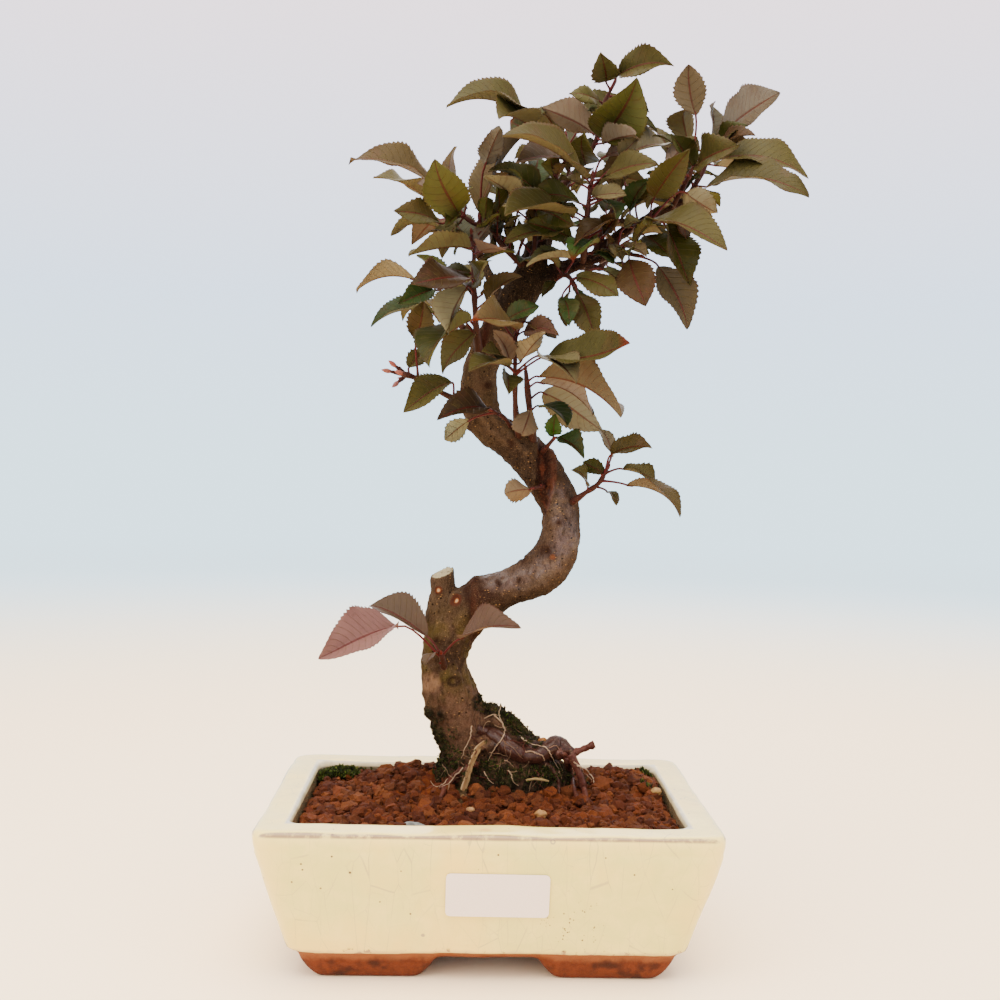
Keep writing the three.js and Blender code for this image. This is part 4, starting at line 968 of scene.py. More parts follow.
def add_wounds(b):
    """The hollow wound and its rim, the dark cut, ridges, the fork's crease with painted shade in it and the
    stub's sawn top.
    """
    gap, share = near_line(b.xs, b.zs, HOLLOW)
    width = 5.2 * np.sin(np.pi * np.clip(share * 0.9 + 0.05, 0, 1)) ** 0.6
    mouth = np.clip((width - gap) / 1.6, 0, 1) * b.front
    b.rise -= mouth * 2.6
    b.paint(mouth, "22100b")
    b.paint(mouth * np.clip(b.upright * 2, 0, 1), "3f1f14")
    rim = b.ridge(HOLLOW_RIM, 1.1)
    b.rise += rim * 0.9
    b.paint(rim * 0.7, "4d2c20")
    split = b.ridge(DARK_CUT, 2.4)
    b.rise -= split * 0.8
    b.paint(split * 0.85, "301008")
    b.bare *= 1 - np.clip(mouth + rim * 0.5 + split, 0, 1)
    for line in RIDGES:
        ridge = b.ridge(line, 1.5)
        b.rise += ridge * 0.8
        b.paint(ridge * 0.18, "695442")
    # Painted shade in the fork's crease, which is also sunk: darkened here and again in the finish.
    crease = b.ridge(FORK, 2.2)
    b.rise -= crease * 1.1
    b.paint(crease * 0.8, "180b07")
    b.dent_shade = np.maximum(b.dent_shade, crease * 0.6)
    b.paint(climb(b.gap_to(FORK), 7, 3) * (b.xs > -11) * np.clip(0.8 - b.middle, 0, 1) * 0.6, "35170d")
    sawn = (b.normals[:, 2] > 0.72) & (np.abs(b.xs - STUB[0]) < 8) & (b.zs > STUB[1])
    b.rise = np.where(sawn, 0.1 * b.small, b.rise)
    b.tone[sawn] = colour("8a7f62")
    b.bare[sawn] = b.gloss[sawn] = 0


def paint_foot(b, crust_and_shade):
    """Crust, with painted shade along the hump, the thick root that lies open, red roots and the dead one."""
    # Dark crust and moss; along the hump the band also stands for painted shade under its edge.
    b.paint(crust_and_shade * np.clip(0.8 + b.middle, 0, 1), "0e0d07")
    b.paint(crust_and_shade * np.clip(b.broad * 2, 0, 1) * 0.6, "1d1e0b")
    b.bare *= 1 - crust_and_shade
    b.gloss *= 1 - crust_and_shade
    start = THICK_ROOT[0][0]
    thick = climb(b.gap_to(THICK_ROOT), 9, 6) * climb(b.xs, start - 7, start - 2)
    thick *= climb(b.zs, 88, 92) * climb(b.zs, 104, 101)
    b.paint(thick * 0.95, "1d0c09")
    b.paint(thick * np.clip(b.middle * 1.8, 0, 1) * 0.6, "35201a")
    b.shine(thick * b.front * np.clip(0.1 + b.middle, 0, 0.35))
    for line in RED_ROOTS:
        b.paint(climb(b.gap_to(line), 3.4, 2.2) * b.front, "47231b")
    gap, share = near_line(b.xs, b.zs, DEAD_ROOT)
    dead = np.clip((1.8 + 1.7 * share - gap) / 0.9, 0, 1) * b.front * (b.points[:, 1] < 6.5)
    b.paint(dead * 0.4, "5b452f")
    b.paint(dead * np.clip(b.upright * 2.4, 0, 1) * 0.5, "3a2817")
    b.bare *= 1 - dead


def build_trunk():
    mesh = remeshed("trunk", 0.85, 9)
    b = Bark(places_of(mesh), normals_of(mesh))
    crust_and_shade = crust_and_shade_share(b)
    b.rise += crust_and_shade * (1.1 * b.middle + 0.9 * b.small)
    paint_broad_tones(b)
    add_knots(b)
    add_wounds(b)
    paint_foot(b, crust_and_shade)
    set_places(mesh, b.points + b.normals * b.rise[:, None])
    store(mesh, "tone", np.column_stack([b.tone, np.ones(len(b.tone))]))
    store(mesh, "gloss", np.clip(b.gloss, 0, 1))
    store(mesh, "bare", b.bare)
    store(mesh, "dent_shade", b.dent_shade)
    points, faces = [Vector(p) for p in places_of(mesh)], [tuple(p.vertices) for p in mesh.polygons]
    tree = BVHTree.FromPolygons(points, faces)
    cuts = [(behind(tree, x, z)[0], *sizes) for x, z, *sizes in FRESH_CUTS]
    finish_piece("bark_and_roots", mesh, "bark", [bark_finish(cuts)], replaces=("trunk",))
    return tree


# A root that lies open on the root mass: its line, radii along it, how deep it is sunk, tone and gloss.
OPEN_ROOTS = [
    ([(-7, 106), (-1, 104.5), (6, 101), (12, 95.5), (19, 92.8), (26, 93.5), (31, 97), (35.5, 99),
      (40, 96.5), (43.5, 92.5)], (2.4, 3.6, 4.2, 4.4, 4.2, 4.4, 4.8, 3.6, 2.6), 0.5, "2f1711", 0.4),
    ([(42, 94), (46, 87), (49, 79), (51, 69)], (2.6, 2.1, 1.7, 1.2), 0.1, "401f18", 0.2),
    ([(40, 92), (42.5, 85), (44, 78), (46.5, 70)], (1.9, 1.5, 1.2, 0.9), 0.2, "371a14", 0.2),
    ([(42, 94), (47, 96), (51, 98), (54.5, 99.5)], (2.2, 1.6, 1.5, 2.0), 0.1, "46231c", 0.2),
    ([(-7, 89), (-15, 83.5), (-21, 78), (-24.5, 70)], (2.2, 1.8, 1.5, 1.1), 0.2, "432118", 0.18),
    ([(-12, 85), (-18, 79.5), (-24, 76), (-29, 73)], (1.1, 1.0, 0.8, 0.6), 0.2, "48261c", 0.15),
    ([(28, 90), (33, 86), (36, 80), (37, 73)], (1.5, 1.3, 1.1, 0.8), 0.3, "301710", 0.2),
]


def build_open_roots(tree):
    """Roots on the face of the root mass, each a knotty tube partly sunk in what the eye sees there."""
    shape = Shape()
    sides = 16
    for number, (line, radii, sunk, tone, gloss) in enumerate(OPEN_ROOTS):
        steps = 8 * (len(line) - 1)
        thick = evenly(radii, steps + 1)
        depths, flat = [], flat_curve(line, steps)
        for p, radius in zip(flat, thick):
            hit = behind(tree, p.x, p.z)[0]
            free = not hit or hit.y > 34
            depths.append(depths[-1] if free and depths else hit.y + radius * (2 * sunk - 0.5))
        depths = np.convolve(np.pad(depths, 3, "edge"), np.ones(7) / 7, "valid")
        path = [seen(p.x, p.z, y) for p, y in zip(flat, depths)]
        start = len(shape.points)
        shape.tube(path, list(thick), sides, 0, (opaque(tone), gloss, 0.3))
        skin = np.array(shape.points[start:])
        knobs = rough(skin, 5.5, 3, number) * 0.55 + rough(skin, 1.8, 2, 9 + number) * 0.22
        out = skin - np.array(path)[np.minimum(np.arange(len(skin)) // sides, len(path) - 1)]
        out /= np.maximum(np.linalg.norm(out, axis=1), 0.05)[:, None]
        shape.points[start:] = [Vector(p) for p in skin + out * knobs[:, None]]
    shape.piece("open_roots", "bark", [bark_finish([])], ("tone", "gloss", "bare"))


# Fine roots that stand out in the photograph: line and radius.
HAIR_ROOTS = [
    ([(-9, 108), (-9.5, 104), (-10, 101), (-12, 97), (-14, 91)], 0.5),
    ([(2, 114), (7, 109), (8, 105), (5.5, 100), (2, 95), (0, 90)], 0.6),
    ([(19, 95), (22, 95), (25, 94), (28, 93), (29, 90)], 0.65), ([(8, 90), (10.5, 89.5), (13, 87)], 0.45),
    ([(-3, 112), (2, 114), (6, 113.5)], 0.4), ([(28, 98), (31, 96), (33, 92), (36, 87), (37, 84)], 0.5),
    ([(44, 90), (47, 88), (50, 84), (54, 80)], 0.5), ([(46, 88), (51, 86), (54, 82), (55, 79)], 0.55),
    ([(-21, 80), (-24, 77), (-27, 76), (-30, 79)], 0.4), ([(-13, 86), (-17, 82), (-20, 78), (-24, 76)], 0.5),
    ([(10, 86), (12, 82), (13, 79), (16, 77)], 0.4), ([(-2, 84), (0, 80), (3, 78)], 0.4),
    ([(31, 97), (35, 98), (37, 96)], 0.4), ([(16, 103), (20, 100), (24, 98.5), (29, 98)], 0.45),
    ([(6, 110), (5, 115), (6, 119)], 0.35), ([(36, 90), (38, 86), (38, 81)], 0.45),
]
ROOTLETS = 90


def add_hair_root(shape, tree, line, radius, draw):
    """A fine root through places that are seen in the photograph, laid on what the eye sees behind it."""
    path = []
    depth = None
    for p in flat_curve(line, 5 * (len(line) - 1)):
        x, z = p.x + draw.uniform(-0.3, 0.3), p.z + draw.uniform(-0.3, 0.3)
        hit = behind(tree, x, z)[0]
        y = hit.y - radius * 0.7 if hit and hit.y < 40 else depth
        if y is None:
            continue
        depth = y if depth is None else depth * 0.5 + y * 0.5
        path.append(seen(x, z, min(depth, y)))
    if len(path) > 2:
        tone = opaque(draw.choice(("927a61", "836952", "715441", "9e876d")))
        radii = [radius * (0.82 - 0.5 * k / len(path)) for k in range(len(path))]
        shape.tube(path, radii, 6, 0, (tone,))


def add_rootlet(shape, tree, draw):
    """A short root that wanders down over the root mass."""
    x, z = draw.uniform(-24, 48), draw.uniform(77, 112)
    heading, path = draw.uniform(3.4, 6.0), []
    for _ in range(draw.choice((6, 9, 12))):
        hit, normal = behind(tree, x, z)
        if not hit or hit.y > 30 or hit.z < ROOT_FOOT or z > 118 - abs(x - 4):
            break
        path.append(hit + normal * 0.15)
        heading += draw.uniform(-0.5, 0.5)
        x, z = x + 1.3 * math.cos(heading), z + 1.3 * math.sin(heading)
    if len(path) > 3 and all((b - a).length < 5 for a, b in zip(path, path[1:])):
        tone = opaque(draw.choice(("5a4331", "3c1d16", "2c1410", "6f5a43")))
        shape.tube(path, [0.32 - 0.2 * k / len(path) for k in range(len(path))], 5, 0, (tone,))


def add_dead_root(shape, tree, draw):
    """The pale dead root on the front of the trunk's foot, banded like driftwood."""
    path = []
    for p in flat_curve(DEAD_ROOT, 24):
        hit = behind(tree, p.x, p.z)[0]
        y = hit.y + 0.5 if hit and hit.y < 30 else path[-1].y
        path.append(seen(p.x, p.z, y if not path else path[-1].y * 0.6 + y * 0.4))
    widths = np.interp(np.linspace(0, 1, len(path)), (0, 0.2, 0.5, 0.9, 1), (1.2, 1.8, 1.5, 1.8, 1.1))
    radii = [w * (1 + 0.07 * math.sin(k * 2.1)) for k, w in enumerate(widths)]
    bands = [(opaque(draw.choice(("a48a66", "92774f", "6b5133", "b39a76"))),) for _ in range(10)]
    path = [p + Vector((draw.uniform(-0.15, 0.15), 0, draw.uniform(-0.15, 0.15))) for p in path]
    shape.tube(path, radii, 10, 0, bands * len(path) + bands[:2])


def build_hair_roots(tree):
    draw = random.Random(9)
    shape = Shape()
    for line, radius in HAIR_ROOTS:
        add_hair_root(shape, tree, line, radius, draw)
    for _ in range(ROOTLETS):
        add_rootlet(shape, tree, draw)
    add_dead_root(shape, tree, draw)
    stick = [seen(x, z, -2.5) for x, z in ((19.5, 80), (24, 80.8), (28, 80.4), (31.5, 79.6))]
    shape.tube(stick, [0.6, 0.75, 0.7, 0.5], 7, 0, (opaque("7d6a45"),))
    shape.piece("hair_roots", "bark", [stalk_finish()], ["upper"])


# Leafy shoots

# As in the part's source: half a blade's thickness, a leaf's width as a share of its length and what is
# added to it, the steps of a stem, and the turns, lifts and sizes tried to keep a leaf clear.
CAD_HALF = 0.33
TRUE_WIDTH = (0.44, 3)
RULED_WIDTH = (0.46, 2)
MAIN_STEPS = 40
TURNS = (0, 4, -4, 8, -8, 13, -13, 19, -19, 26, -26, 34, -34)
LIFTS = (0, 4, -4, 9, -9)
SIZES = (1, 0.82, 0.66)

# A tone is the upper face and the underside.
LEAF_TONES = {
    "olive": ("363015", "4d462c"), "bright": ("383514", "4f4a2e"), "dark": ("232308", "413f1c"),
    "green": ("202c11", "3f4327"), "vivid": ("253a12", "464926"), "gold": ("362b14", "4b3f2c"),
    "brown": ("302110", "4b3b27"), "tan": ("473f28", "4e4530"), "grey": ("3c3424", "50463d"),
    "mauve": ("3f3025", "564637"), "pink": ("4c412f", "5f5346"), "pale": ("4c472a", "665e45"),
    "red": ("5f433c", "705750"), "purple": ("25180c", "41331f"), "beige": ("4b3f2a", "5c4c39"),
    "yellow": ("483b20", "58492e"), "rosy": ("38241a", "483428"),
}

# Name, stems (x, z, depth, radius) and leaves: base x, z, tip x, z, how far the tip lies behind,
# the width that shows, arch, side turned to the front, and tone. A star means a burnt tip.
SHOOTS = [
    ("low_bud_leaves", [
        [(-24, 138, 4, 2.6), (-25.5, 145, -6, 1.6)],
    ], [
        (-48, 159, -88.5, 142, -28, 16, 3, 1, "red"), (-33, 154, -63, 170.5, 16, 14, 3, 1, "mauve"),
        (-16, 153, 14.5, 160.5, -20, 9, 3, 1, "mauve"), (-28, 146, -34, 139, -8, 4, 1, 1, "mauve"),
    ]),
    ("left_bud_twig", [
        [(-10, 272, 5, 2.4), (-28.5, 280, -3, 1.5), (-38.5, 286, -10, 1.2), (-48, 289, -14, 1.6)],
        [(-46, 288.5, -3, 1.2), (-52, 293, -7, 0.8)],
        [(-46, 288.5, -3, 1.2), (-50.5, 284.5, -7, 0.8)],
        [(-46, 288.5, -3, 1.3), (-54.5, 290, -5, 0.8)],
    ], [
        (-41.5, 308, -38, 326, -8, 14, 1, 1, "gold"), (-45, 292, -37, 301.5, 8, 9, 1, 1, "olive"),
        (-23, 285, -47, 270.5, -16, 12, 3, 1, "olive"),
    ]),
    ("left_low_spur", [
        [(9, 262, 1, 1.6), (4, 268, -14, 1.1), (-2, 271, -20, 0.9)],
    ], [
        (-4, 272, -30, 266, -16, 12, 4, 1, "purple"), (-13, 266, -26, 256, -6, 10, 2, -1, "pale"),
    ]),
    ("front_shoot", [
        [(12.5, 254, 2, 1.9), (10, 275, -23, 1.5), (9.5, 293, -30, 1.2), (9.5, 312, -32, 0.9)],
    ], [
        (7, 296, -3, 311.5, -12, 9, 2, -1, "mauve"), (2, 296.5, -7, 302.5, -16, 4, 1, 1, "olive"),
        (6, 294, -14, 292.5, -24, 4, 2, 1, "olive"), (4, 291, 6.5, 280, -16, 7, 1, 1, "olive"),
        (12, 296, 25, 311, -16, 9, 2, -1, "pale"), (14, 312, 31, 312, -12, 10, 2, 1, "rosy"),
        (9.5, 313, -12, 318, -28, 8, 2, 1, "yellow*"), (26, 300, 67.5, 308, -32, 10, -4, 1, "olive*"),
        (22, 299.5, 41, 288, -28, 8, 2, 1, "tan"), (14, 317, 30.5, 309.5, -8, 6, 1, 1, "brown"),
        (4, 317, 21, 325.5, -6, 8, 1, 1, "green"),
    ]),
    ("grey_shoot", [
        [(20, 253, 1, 2.1), (17, 275, -14, 1.7), (15, 292, -18, 1.2)],
    ], [
        (22, 289, 64, 268.5, -36, 8, 6, -1, "tan"), (22, 286, 50, 269.5, -16, 6, 4, -1, "pink"),
        (24, 281, 55, 262, 8, 19, 3, -1, "pale"), (22, 274, 37.5, 265, -20, 8, 2, 1, "green"),
        (18, 273, 14, 260, -16, 13, 1, -1, "beige"),
    ]),
    ("eye_leaves", [
        [(24, 250, 0, 1.6), (30, 257, -15, 1)],
    ], [
        (30, 259, 31, 270, -6, 9, 1, 1, "vivid"), (32, 258, 46, 249, -12, 9, 2, 1, "green"),
    ]),
    ("right_spur", [
        [(38, 223, 0, 2), (46, 229, -10, 1.4), (54, 235, -17, 1.3), (58, 242, -19, 1)],
    ], [
        (60.5, 250, 80.5, 254.5, -16, 10, 2, 1, "gold"), (60, 251, 54, 263, 8, 6, 1, 1, "pink"),
        (56.5, 240, 45, 246, 4, 8, 1, 1, "dark"), (48, 234, 41, 242, -12, 5, 1, 1, "olive"),
        (66, 242.5, 84, 236, 4, 6, 2, 1, "olive"), (69, 234, 97.5, 220.5, -20, 5, 4, 1, "gold"),
        (58, 231, 64, 224.5, -6, 4, 1, 1, "olive"),
    ]),
    ("trunk_leaflet", [
        [(26, 233, -3, 1.4), (20, 231.5, -18, 0.9)],
    ], [
        (19, 231, 6, 228.5, -8, 12, 1, -1, "beige"),
    ]),
    ("left_shoot", [
        [(-9, 298, 0, 2.2), (-11.5, 320, -17, 1.5),
         (-12.5, 338, -21, 1.3), (-13, 355, -21, 1.1), (-14, 361, -21, 0.9)],
    ], [
        (-14, 354, -46, 348.5, -20, 6, 2, -1, "olive"), (-42, 337, -72.5, 330.5, 4, 6, 5, -1, "pale"),
        (-15, 338.5, -43.5, 336, -32, 9, 2, 1, "purple"), (-14, 341, -32.5, 340, 8, 6, 2, 1, "dark"),
        (-33, 332, -51, 325, -12, 10, 2, 1, "green"), (-16, 334, -25, 310, -24, 14, 1, -1, "pale"),
        (-14, 317, -35.5, 294.5, -32, 8, 3, 1, "dark"), (-6, 327, 11, 341, -12, 8, 2, 1, "gold"),
        (-11, 337, -6, 347, -20, 8, 1, 1, "olive"), (-10, 352, 3, 353, -24, 6, 1, -1, "mauve"),
        (-12, 356, -4, 366, -6, 7, 1, -1, "grey"), (-10, 312, -28.5, 290, 4, 13, 2, 1, "olive"),
        (-16, 357, -28, 372, 20, 12, 1, 1, "dark"),
    ]),
    ("upper_left_shoot", [
        [(14, 345, 3, 2.2), (5, 352, -10, 1.6),
         (-4, 362, -16, 1.3), (-14, 367, -20, 1.1), (-24, 374, -22, 0.9)],
    ], [
        (-21, 371, -34, 398, -20, 21, 3, 1, "bright"), (-10.5, 372, 12, 414, 8, 10, 3, 1, "gold"),
        (8, 379, -8, 390, -24, 8, 1, -1, "pale"), (-1, 373, -1, 385, -18, 8, 1, 1, "dark"),
        (-9, 363, 2, 377, -28, 9, 1, 1, "olive"), (-30.5, 366, -53.5, 372, -12, 9, 2, 1, "olive"),
        (-33, 385, -76.5, 398.5, -4, 9, 4, 1, "gold"), (-27, 372, -42.5, 386, 20, 8, 2, -1, "grey"),
        (-8, 396, 0, 415, -16, 12, 1, -1, "grey"), (13, 362, 4, 358.5, -10, 6, 1, 1, "gold"),
        (-6, 367, -4, 355.5, -12, 6, 1, 1, "grey"), (-20, 368, -30, 351, -10, 8, 2, 1, "olive"),
    ]),
    ("top_left_shoot", [
        [(22, 362, 3, 2.1), (27, 382, -20, 1.6), (28, 398, -20, 1.3), (22, 410, -20, 0.9)],
    ], [
        (12.5, 421, -28, 427, -20, 9, 6, 1, "olive"), (13, 418, -1, 421, -32, 6, 1, 1, "olive"),
        (21, 409, 4, 418, 12, 12, 2, 1, "dark*"), (33, 400, 8.5, 399.5, -28, 6, 2, 1, "mauve"),
        (20, 382, -5, 395, -8, 9, 2, 1, "dark"), (24, 366, 14, 364, -16, 6, 1, 1, "bright"),
    ]),
    ("top_shoot", [
        [(29, 384, -2, 2.2), (40, 396, 2, 1.7),
         (49, 411, -4, 1.4), (52, 428, -4, 1.1), (57, 439, -4, 0.8)],
    ], [
        (48, 413, 20, 426, 16, 14, 2, -1, "mauve"), (52, 411, 69, 442, -24, 25, 2, 1, "bright"),
        (50, 430, 34.5, 434, -8, 8, 2, 1, "olive"), (53, 440, 50, 454, -12, 14, 1, 1, "olive"),
        (60, 444, 87, 450, -16, 14, 4, 1, "olive"), (43.5, 398, 41, 412, -24, 18, 1, 1, "bright"),
        (56, 419, 80, 416, 4, 8, 3, 1, "dark"), (53, 409, 68, 413, -28, 9, 1, -1, "pink"),
    ]),
    ("middle_shoot", [
        [(43, 345, -2, 1.9), (44.5, 363, -17, 1.5), (45.5, 380, -21, 1.2), (47, 392, -21, 0.9)],
    ], [
        (43, 389, 1, 407, -28, 10, 4, 1, "olive"), (52.5, 391, 80, 400, -16, 10, 2, 1, "olive"),
        (54, 403, 72, 407, 4, 7, 1, 1, "mauve"), (62, 385, 66, 397, 8, 6, 1, 1, "gold"),
        (66, 404, 86, 408, 24, 12, 2, 1, "tan"), (50, 358, 38, 351, -20, 8, 1, 1, "vivid*"),
        (41, 378, 14, 381, -8, 9, 3, 1, "dark"), (38, 371, 3, 372.5, -32, 8, 2, 1, "olive"),
        (54, 362, 62, 374, -12, 7, 1, 1, "brown"), (37, 360, 14, 368, -12, 12, 2, 1, "dark"),
        (61, 369.5, 38, 357, -10, 6, 2, 1, "brown"), (47.5, 381.5, 64, 384, -14, 8, 1, 1, "tan"),
        (54, 380, 60, 371, -12, 7, 1, 1, "green"), (50, 385, 60, 392.5, -10, 6, 2, 1, "brown"),
        (61, 401, 70, 412, -8, 7, 1, 1, "grey"), (33, 361, 3, 357, -8, 5, 3, 1, "olive"),
        (19, 374, 37, 367, -12, 11, 1, 1, "dark"),
    ]),
    ("right_upper_shoot", [
        [(88, 376, 0, 1.7), (94, 388, -10, 1.2), (98, 396.5, -13, 1), (99, 410, -10, 0.8)],
    ], [
        (85, 399, 95, 409, -4, 10, 1, -1, "pink"), (98, 398.5, 88, 414, -14, 10, 1, 1, "dark"),
        (101, 399, 120, 410, -32, 12, 2, 1, "olive"), (99.5, 424, 95, 450, -10, 16, -2, 1, "pink"),
        (95, 394, 75, 377, -10, 8, 2, 1, "olive"),
    ]),
    ("right_outer_shoot", [
        [(95, 380, 0, 1.7), (104.5, 398, 6, 1.3), (108, 410, 6, 0.9)],
    ], [
        (108, 413, 107, 430, 12, 9, 1, 1, "grey"), (110, 412, 142.5, 437, 20, 14, 2, -1, "grey"),
        (112, 413, 125, 421, -8, 8, 1, 1, "dark"), (113, 410, 130, 416, -16, 7, 1, 1, "brown"),
        (106, 400, 158.5, 394, -12, 12, 7, 1, "olive"), (110, 399, 134, 393, 20, 7, 2, -1, "pale"),
        (106, 388, 159, 385.5, -28, 11, 7, 1, "olive"),
    ]),
    ("right_branch_spur", [
        [(68, 365, 2, 1.9), (73, 369, -15, 1.2), (82, 371, -21, 0.9)],
    ], [
        (95, 385, 112, 374.5, 8, 14, 1, -1, "pale"), (70, 378, 75, 392, -4, 8, 1, 1, "dark"),
        (74, 370, 117.5, 356.5, -28, 8, 5, 1, "olive"), (91, 372, 96, 361, -6, 6, 1, 1, "purple"),
        (85, 368, 98.5, 337.5, -8, 12, 2, 1, "dark"), (75, 362, 88, 353, -20, 10, 1, 1, "dark"),
        (67, 375, 76, 391, -12, 9, 1, 1, "green"), (78, 380, 93, 401, -14, 15, 1, 1, "olive"),
    ]),
    ("right_low_shoot", [
        [(52, 349, -5, 1.8), (62, 353, -16, 1.2), (72, 352, -22, 0.9)],
    ], [
        (64, 347, 72, 331, -4, 8, 1, 1, "brown"), (67, 350, 76, 327.5, -18, 19, 1, 1, "brown"),
        (82, 347, 98.5, 315.5, -4, 17, 2, 1, "grey"), (58, 358, 63.5, 349.5, -8, 6, 1, 1, "tan"),
        (64, 356.5, 76, 352.5, -10, 5, 1, 1, "beige"), (64, 366, 72, 370.5, -4, 5, 1, 1, "pale"),
    ]),
    ("lower_spur", [
        [(31, 341, 0, 1.7), (36, 340.5, -15, 1.1), (39, 337, -19, 0.9)],
    ], [
        (40, 340, 62, 331.5, -16, 11, 2, 1, "olive"), (41, 332, 50, 310, -8, 15, 1, 1, "olive"),
        (33, 330, 37, 317, -12, 10, 1, 1, "green"), (38, 350, 14, 346, -12, 5, 2, 1, "pale"),
        (54, 345, 67, 335, -8, 7, 1, 1, "pale"),
    ]),
]

# Shoots at the back and inside: name, stem (x, y, z, radius), leaves, their length, and tones.
RULED_SHOOTS = [
    ("rear_left_shoot", [(-9, 34, 355, 2.2), (-20, 44, 370, 1.4), (-30, 48, 380, 0.9)],
     5, 36, "brown olive gold"),
    ("rear_top_shoot", [(34, 38, 383, 2.2), (38, 42, 402, 1.4), (36, 40, 422, 0.9)],
     6, 36, "olive bright dark"),
    ("rear_right_shoot", [(89, 30, 386, 2), (98, 38, 398, 1.3), (103, 40, 409, 0.9)],
     5, 34, "dark olive brown"),
    ("rear_low_left_shoot", [(-17, 34, 316, 2), (-24, 42, 324, 1.3), (-30, 46, 334, 0.9)],
     5, 31, "green pale olive"),
    ("rear_low_right_shoot", [(55, 30, 350, 2), (62, 38, 360, 1.3), (66, 42, 370, 0.9)],
     5, 30, "green olive mauve"),
    ("rear_middle_shoot", [(32, 36, 381, 2.2), (26, 52, 384, 1.4), (20, 60, 390, 0.9)],
     5, 36, "dark olive purple"),
    ("inner_shoot", [(15, 2, 342, 2.4), (18, -8, 356, 1.5), (15, -10, 374, 0.9)], 6, 34, "dark olive green"),
    ("inner_right_shoot", [(50, 3, 352, 2.2), (56, 6, 372, 1.4), (66, 10, 388, 0.9)],
     5, 34, "olive dark brown"),
]


def number_stream(seed):
    """The same numbers from 0 to 1 that the part's source draws."""
    state = seed
    while True:
        state = (state * 1664525 + 1013904223) % 2 ** 32
        yield state / 2 ** 32


def front_leaf(row, stem, index):
    """A leaf as the photograph shows it, its stalk starting on the stem below the nearest spot."""
    bx, bz, tx, tz, back, shows, arch, side, tone = row
    gaps = [math.hypot(p.x - bx, p.z - bz) for p in stem]
    nearest = min(range(len(stem)), key=lambda i: gaps[i])
    depth = stem[nearest].y + back * 0.25
    base, tip = seen(bx, bz, depth), seen(tx, tz, depth + back)
    length = (tip - base).length
    axis = (tip - base) / length
    to_eye = (EYE - base).normalized()
    to_eye = (to_eye - axis * to_eye.dot(axis)).normalized()
    upward = axis.cross(to_eye).normalized()
    if upward.z < 0:
        upward.negate()
    width = max(shows, length * TRUE_WIDTH[0] + TRUE_WIDTH[1])
    roll = math.acos(min(1, shows / width))
    normal = to_eye * side * math.cos(roll) + upward * math.sin(roll)
    foot = stem[max(0, nearest - int(gaps[nearest] * 0.5 + 0.5))]
    start = seen(foot.x, foot.z, foot.y)
    leaf = dict(start=start, base=base, tip=tip, normal=normal, width=width, arch=arch)
    return dict(leaf, wave=index * 1.7, side=side, tone=tone)


def ruled_leaves(stem, count, length, seed, tones):
    """Leaves set round a stem by the golden angle, drawn as the part's source draws them."""
    numbers = number_stream(seed)
    golden = math.pi * (3 - math.sqrt(5))
    last = len(stem) - 1
    for i in range(count):
        spot = int((0.3 + 0.7 * i / (count - 1)) * last + 0.5)
        at = stem[spot]
        along = (stem[min(spot + 1, last)] - stem[max(spot - 1, 0)]).normalized()
        side = Vector((0, 0, 1)).cross(along).normalized()
        up = along.cross(side)
        turn = i * golden + seed
        reach = side * math.cos(turn) + up * math.sin(turn) * 0.8
        reach = (reach + along * (0.5 + 0.4 * next(numbers))).normalized()
        size = length * (0.75 + 0.45 * next(numbers))
        base = at + reach * (7 + 6 * next(numbers)) + Vector((0, 0, 2))
        tip = base + reach * size
        tip.z -= size * (0.1 + 0.3 * next(numbers))
        normal = Vector(((next(numbers) - 0.5) * 0.9, (next(numbers) - 0.5) * 0.9, 1))
        leaf = dict(start=at, base=base, tip=tip, normal=normal, width=size * RULED_WIDTH[0] + RULED_WIDTH[1])
        yield dict(leaf, arch=2 + 3 * next(numbers), wave=i * 1.7 + seed, side=1, tone=tones[i % len(tones)])


def settled(leaf, finder):
    """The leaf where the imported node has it: turned or made shorter as it was to pass clear."""
    for size in SIZES:
        for lift in LIFTS:
            for turn in TURNS:
                shift = Vector((0, turn, lift))
                base = leaf["base"] + shift * 0.35
                tip = base.lerp(leaf["tip"] + shift, size)
                axis = (tip - base).normalized()
                normal = (leaf["normal"] - axis * leaf["normal"].dot(axis)).normalized()
                if finder.find(tip + normal * CAD_HALF)[2] < 0.05:
                    return {**leaf, "base": base, "tip": tip, "normal": normal, "width": leaf["width"] * size}
    return None


# A blade: its columns of points from edge to edge, half its thickness, its teeth, how much fuller it is
# than the solid's, and where a burnt tip starts. Then a stalk's radii and the sides of a stem.
COLUMNS = (-1, -0.86, -0.6, -0.3, -0.09, 0, 0.09, 0.3, 0.6, 0.86, 1)
BLADE_HALF = 0.17
TOOTH_PITCH = 2.05
TOOTH_DEPTH = 0.95
FULLNESS = 1.1
BURN_START = 0.85
STALK_RADII = [0.95, 0.66, 0.56, 0.52, 0.5, 0.5, 0.52, 0.34]
STEM_SIDES = 9

# Buds: radii along one 4 mm long, tone, and length at a stem's end and at its sides.
BUD_RADII = (0.5, 0.95, 1.1, 0.8, 0.35, 0.1)
BUD_TONE = "4c1f1b"
END_BUD = 3.4
SIDE_BUD = 2.3
PALE_BUDS = {"left_bud_twig": ("80524b", 4.6)}

# Small leaves stand round the stems above this height.
CROWN_FOOT = 318.0
SMALL_TONES = ("dark", "green", "olive", "purple")


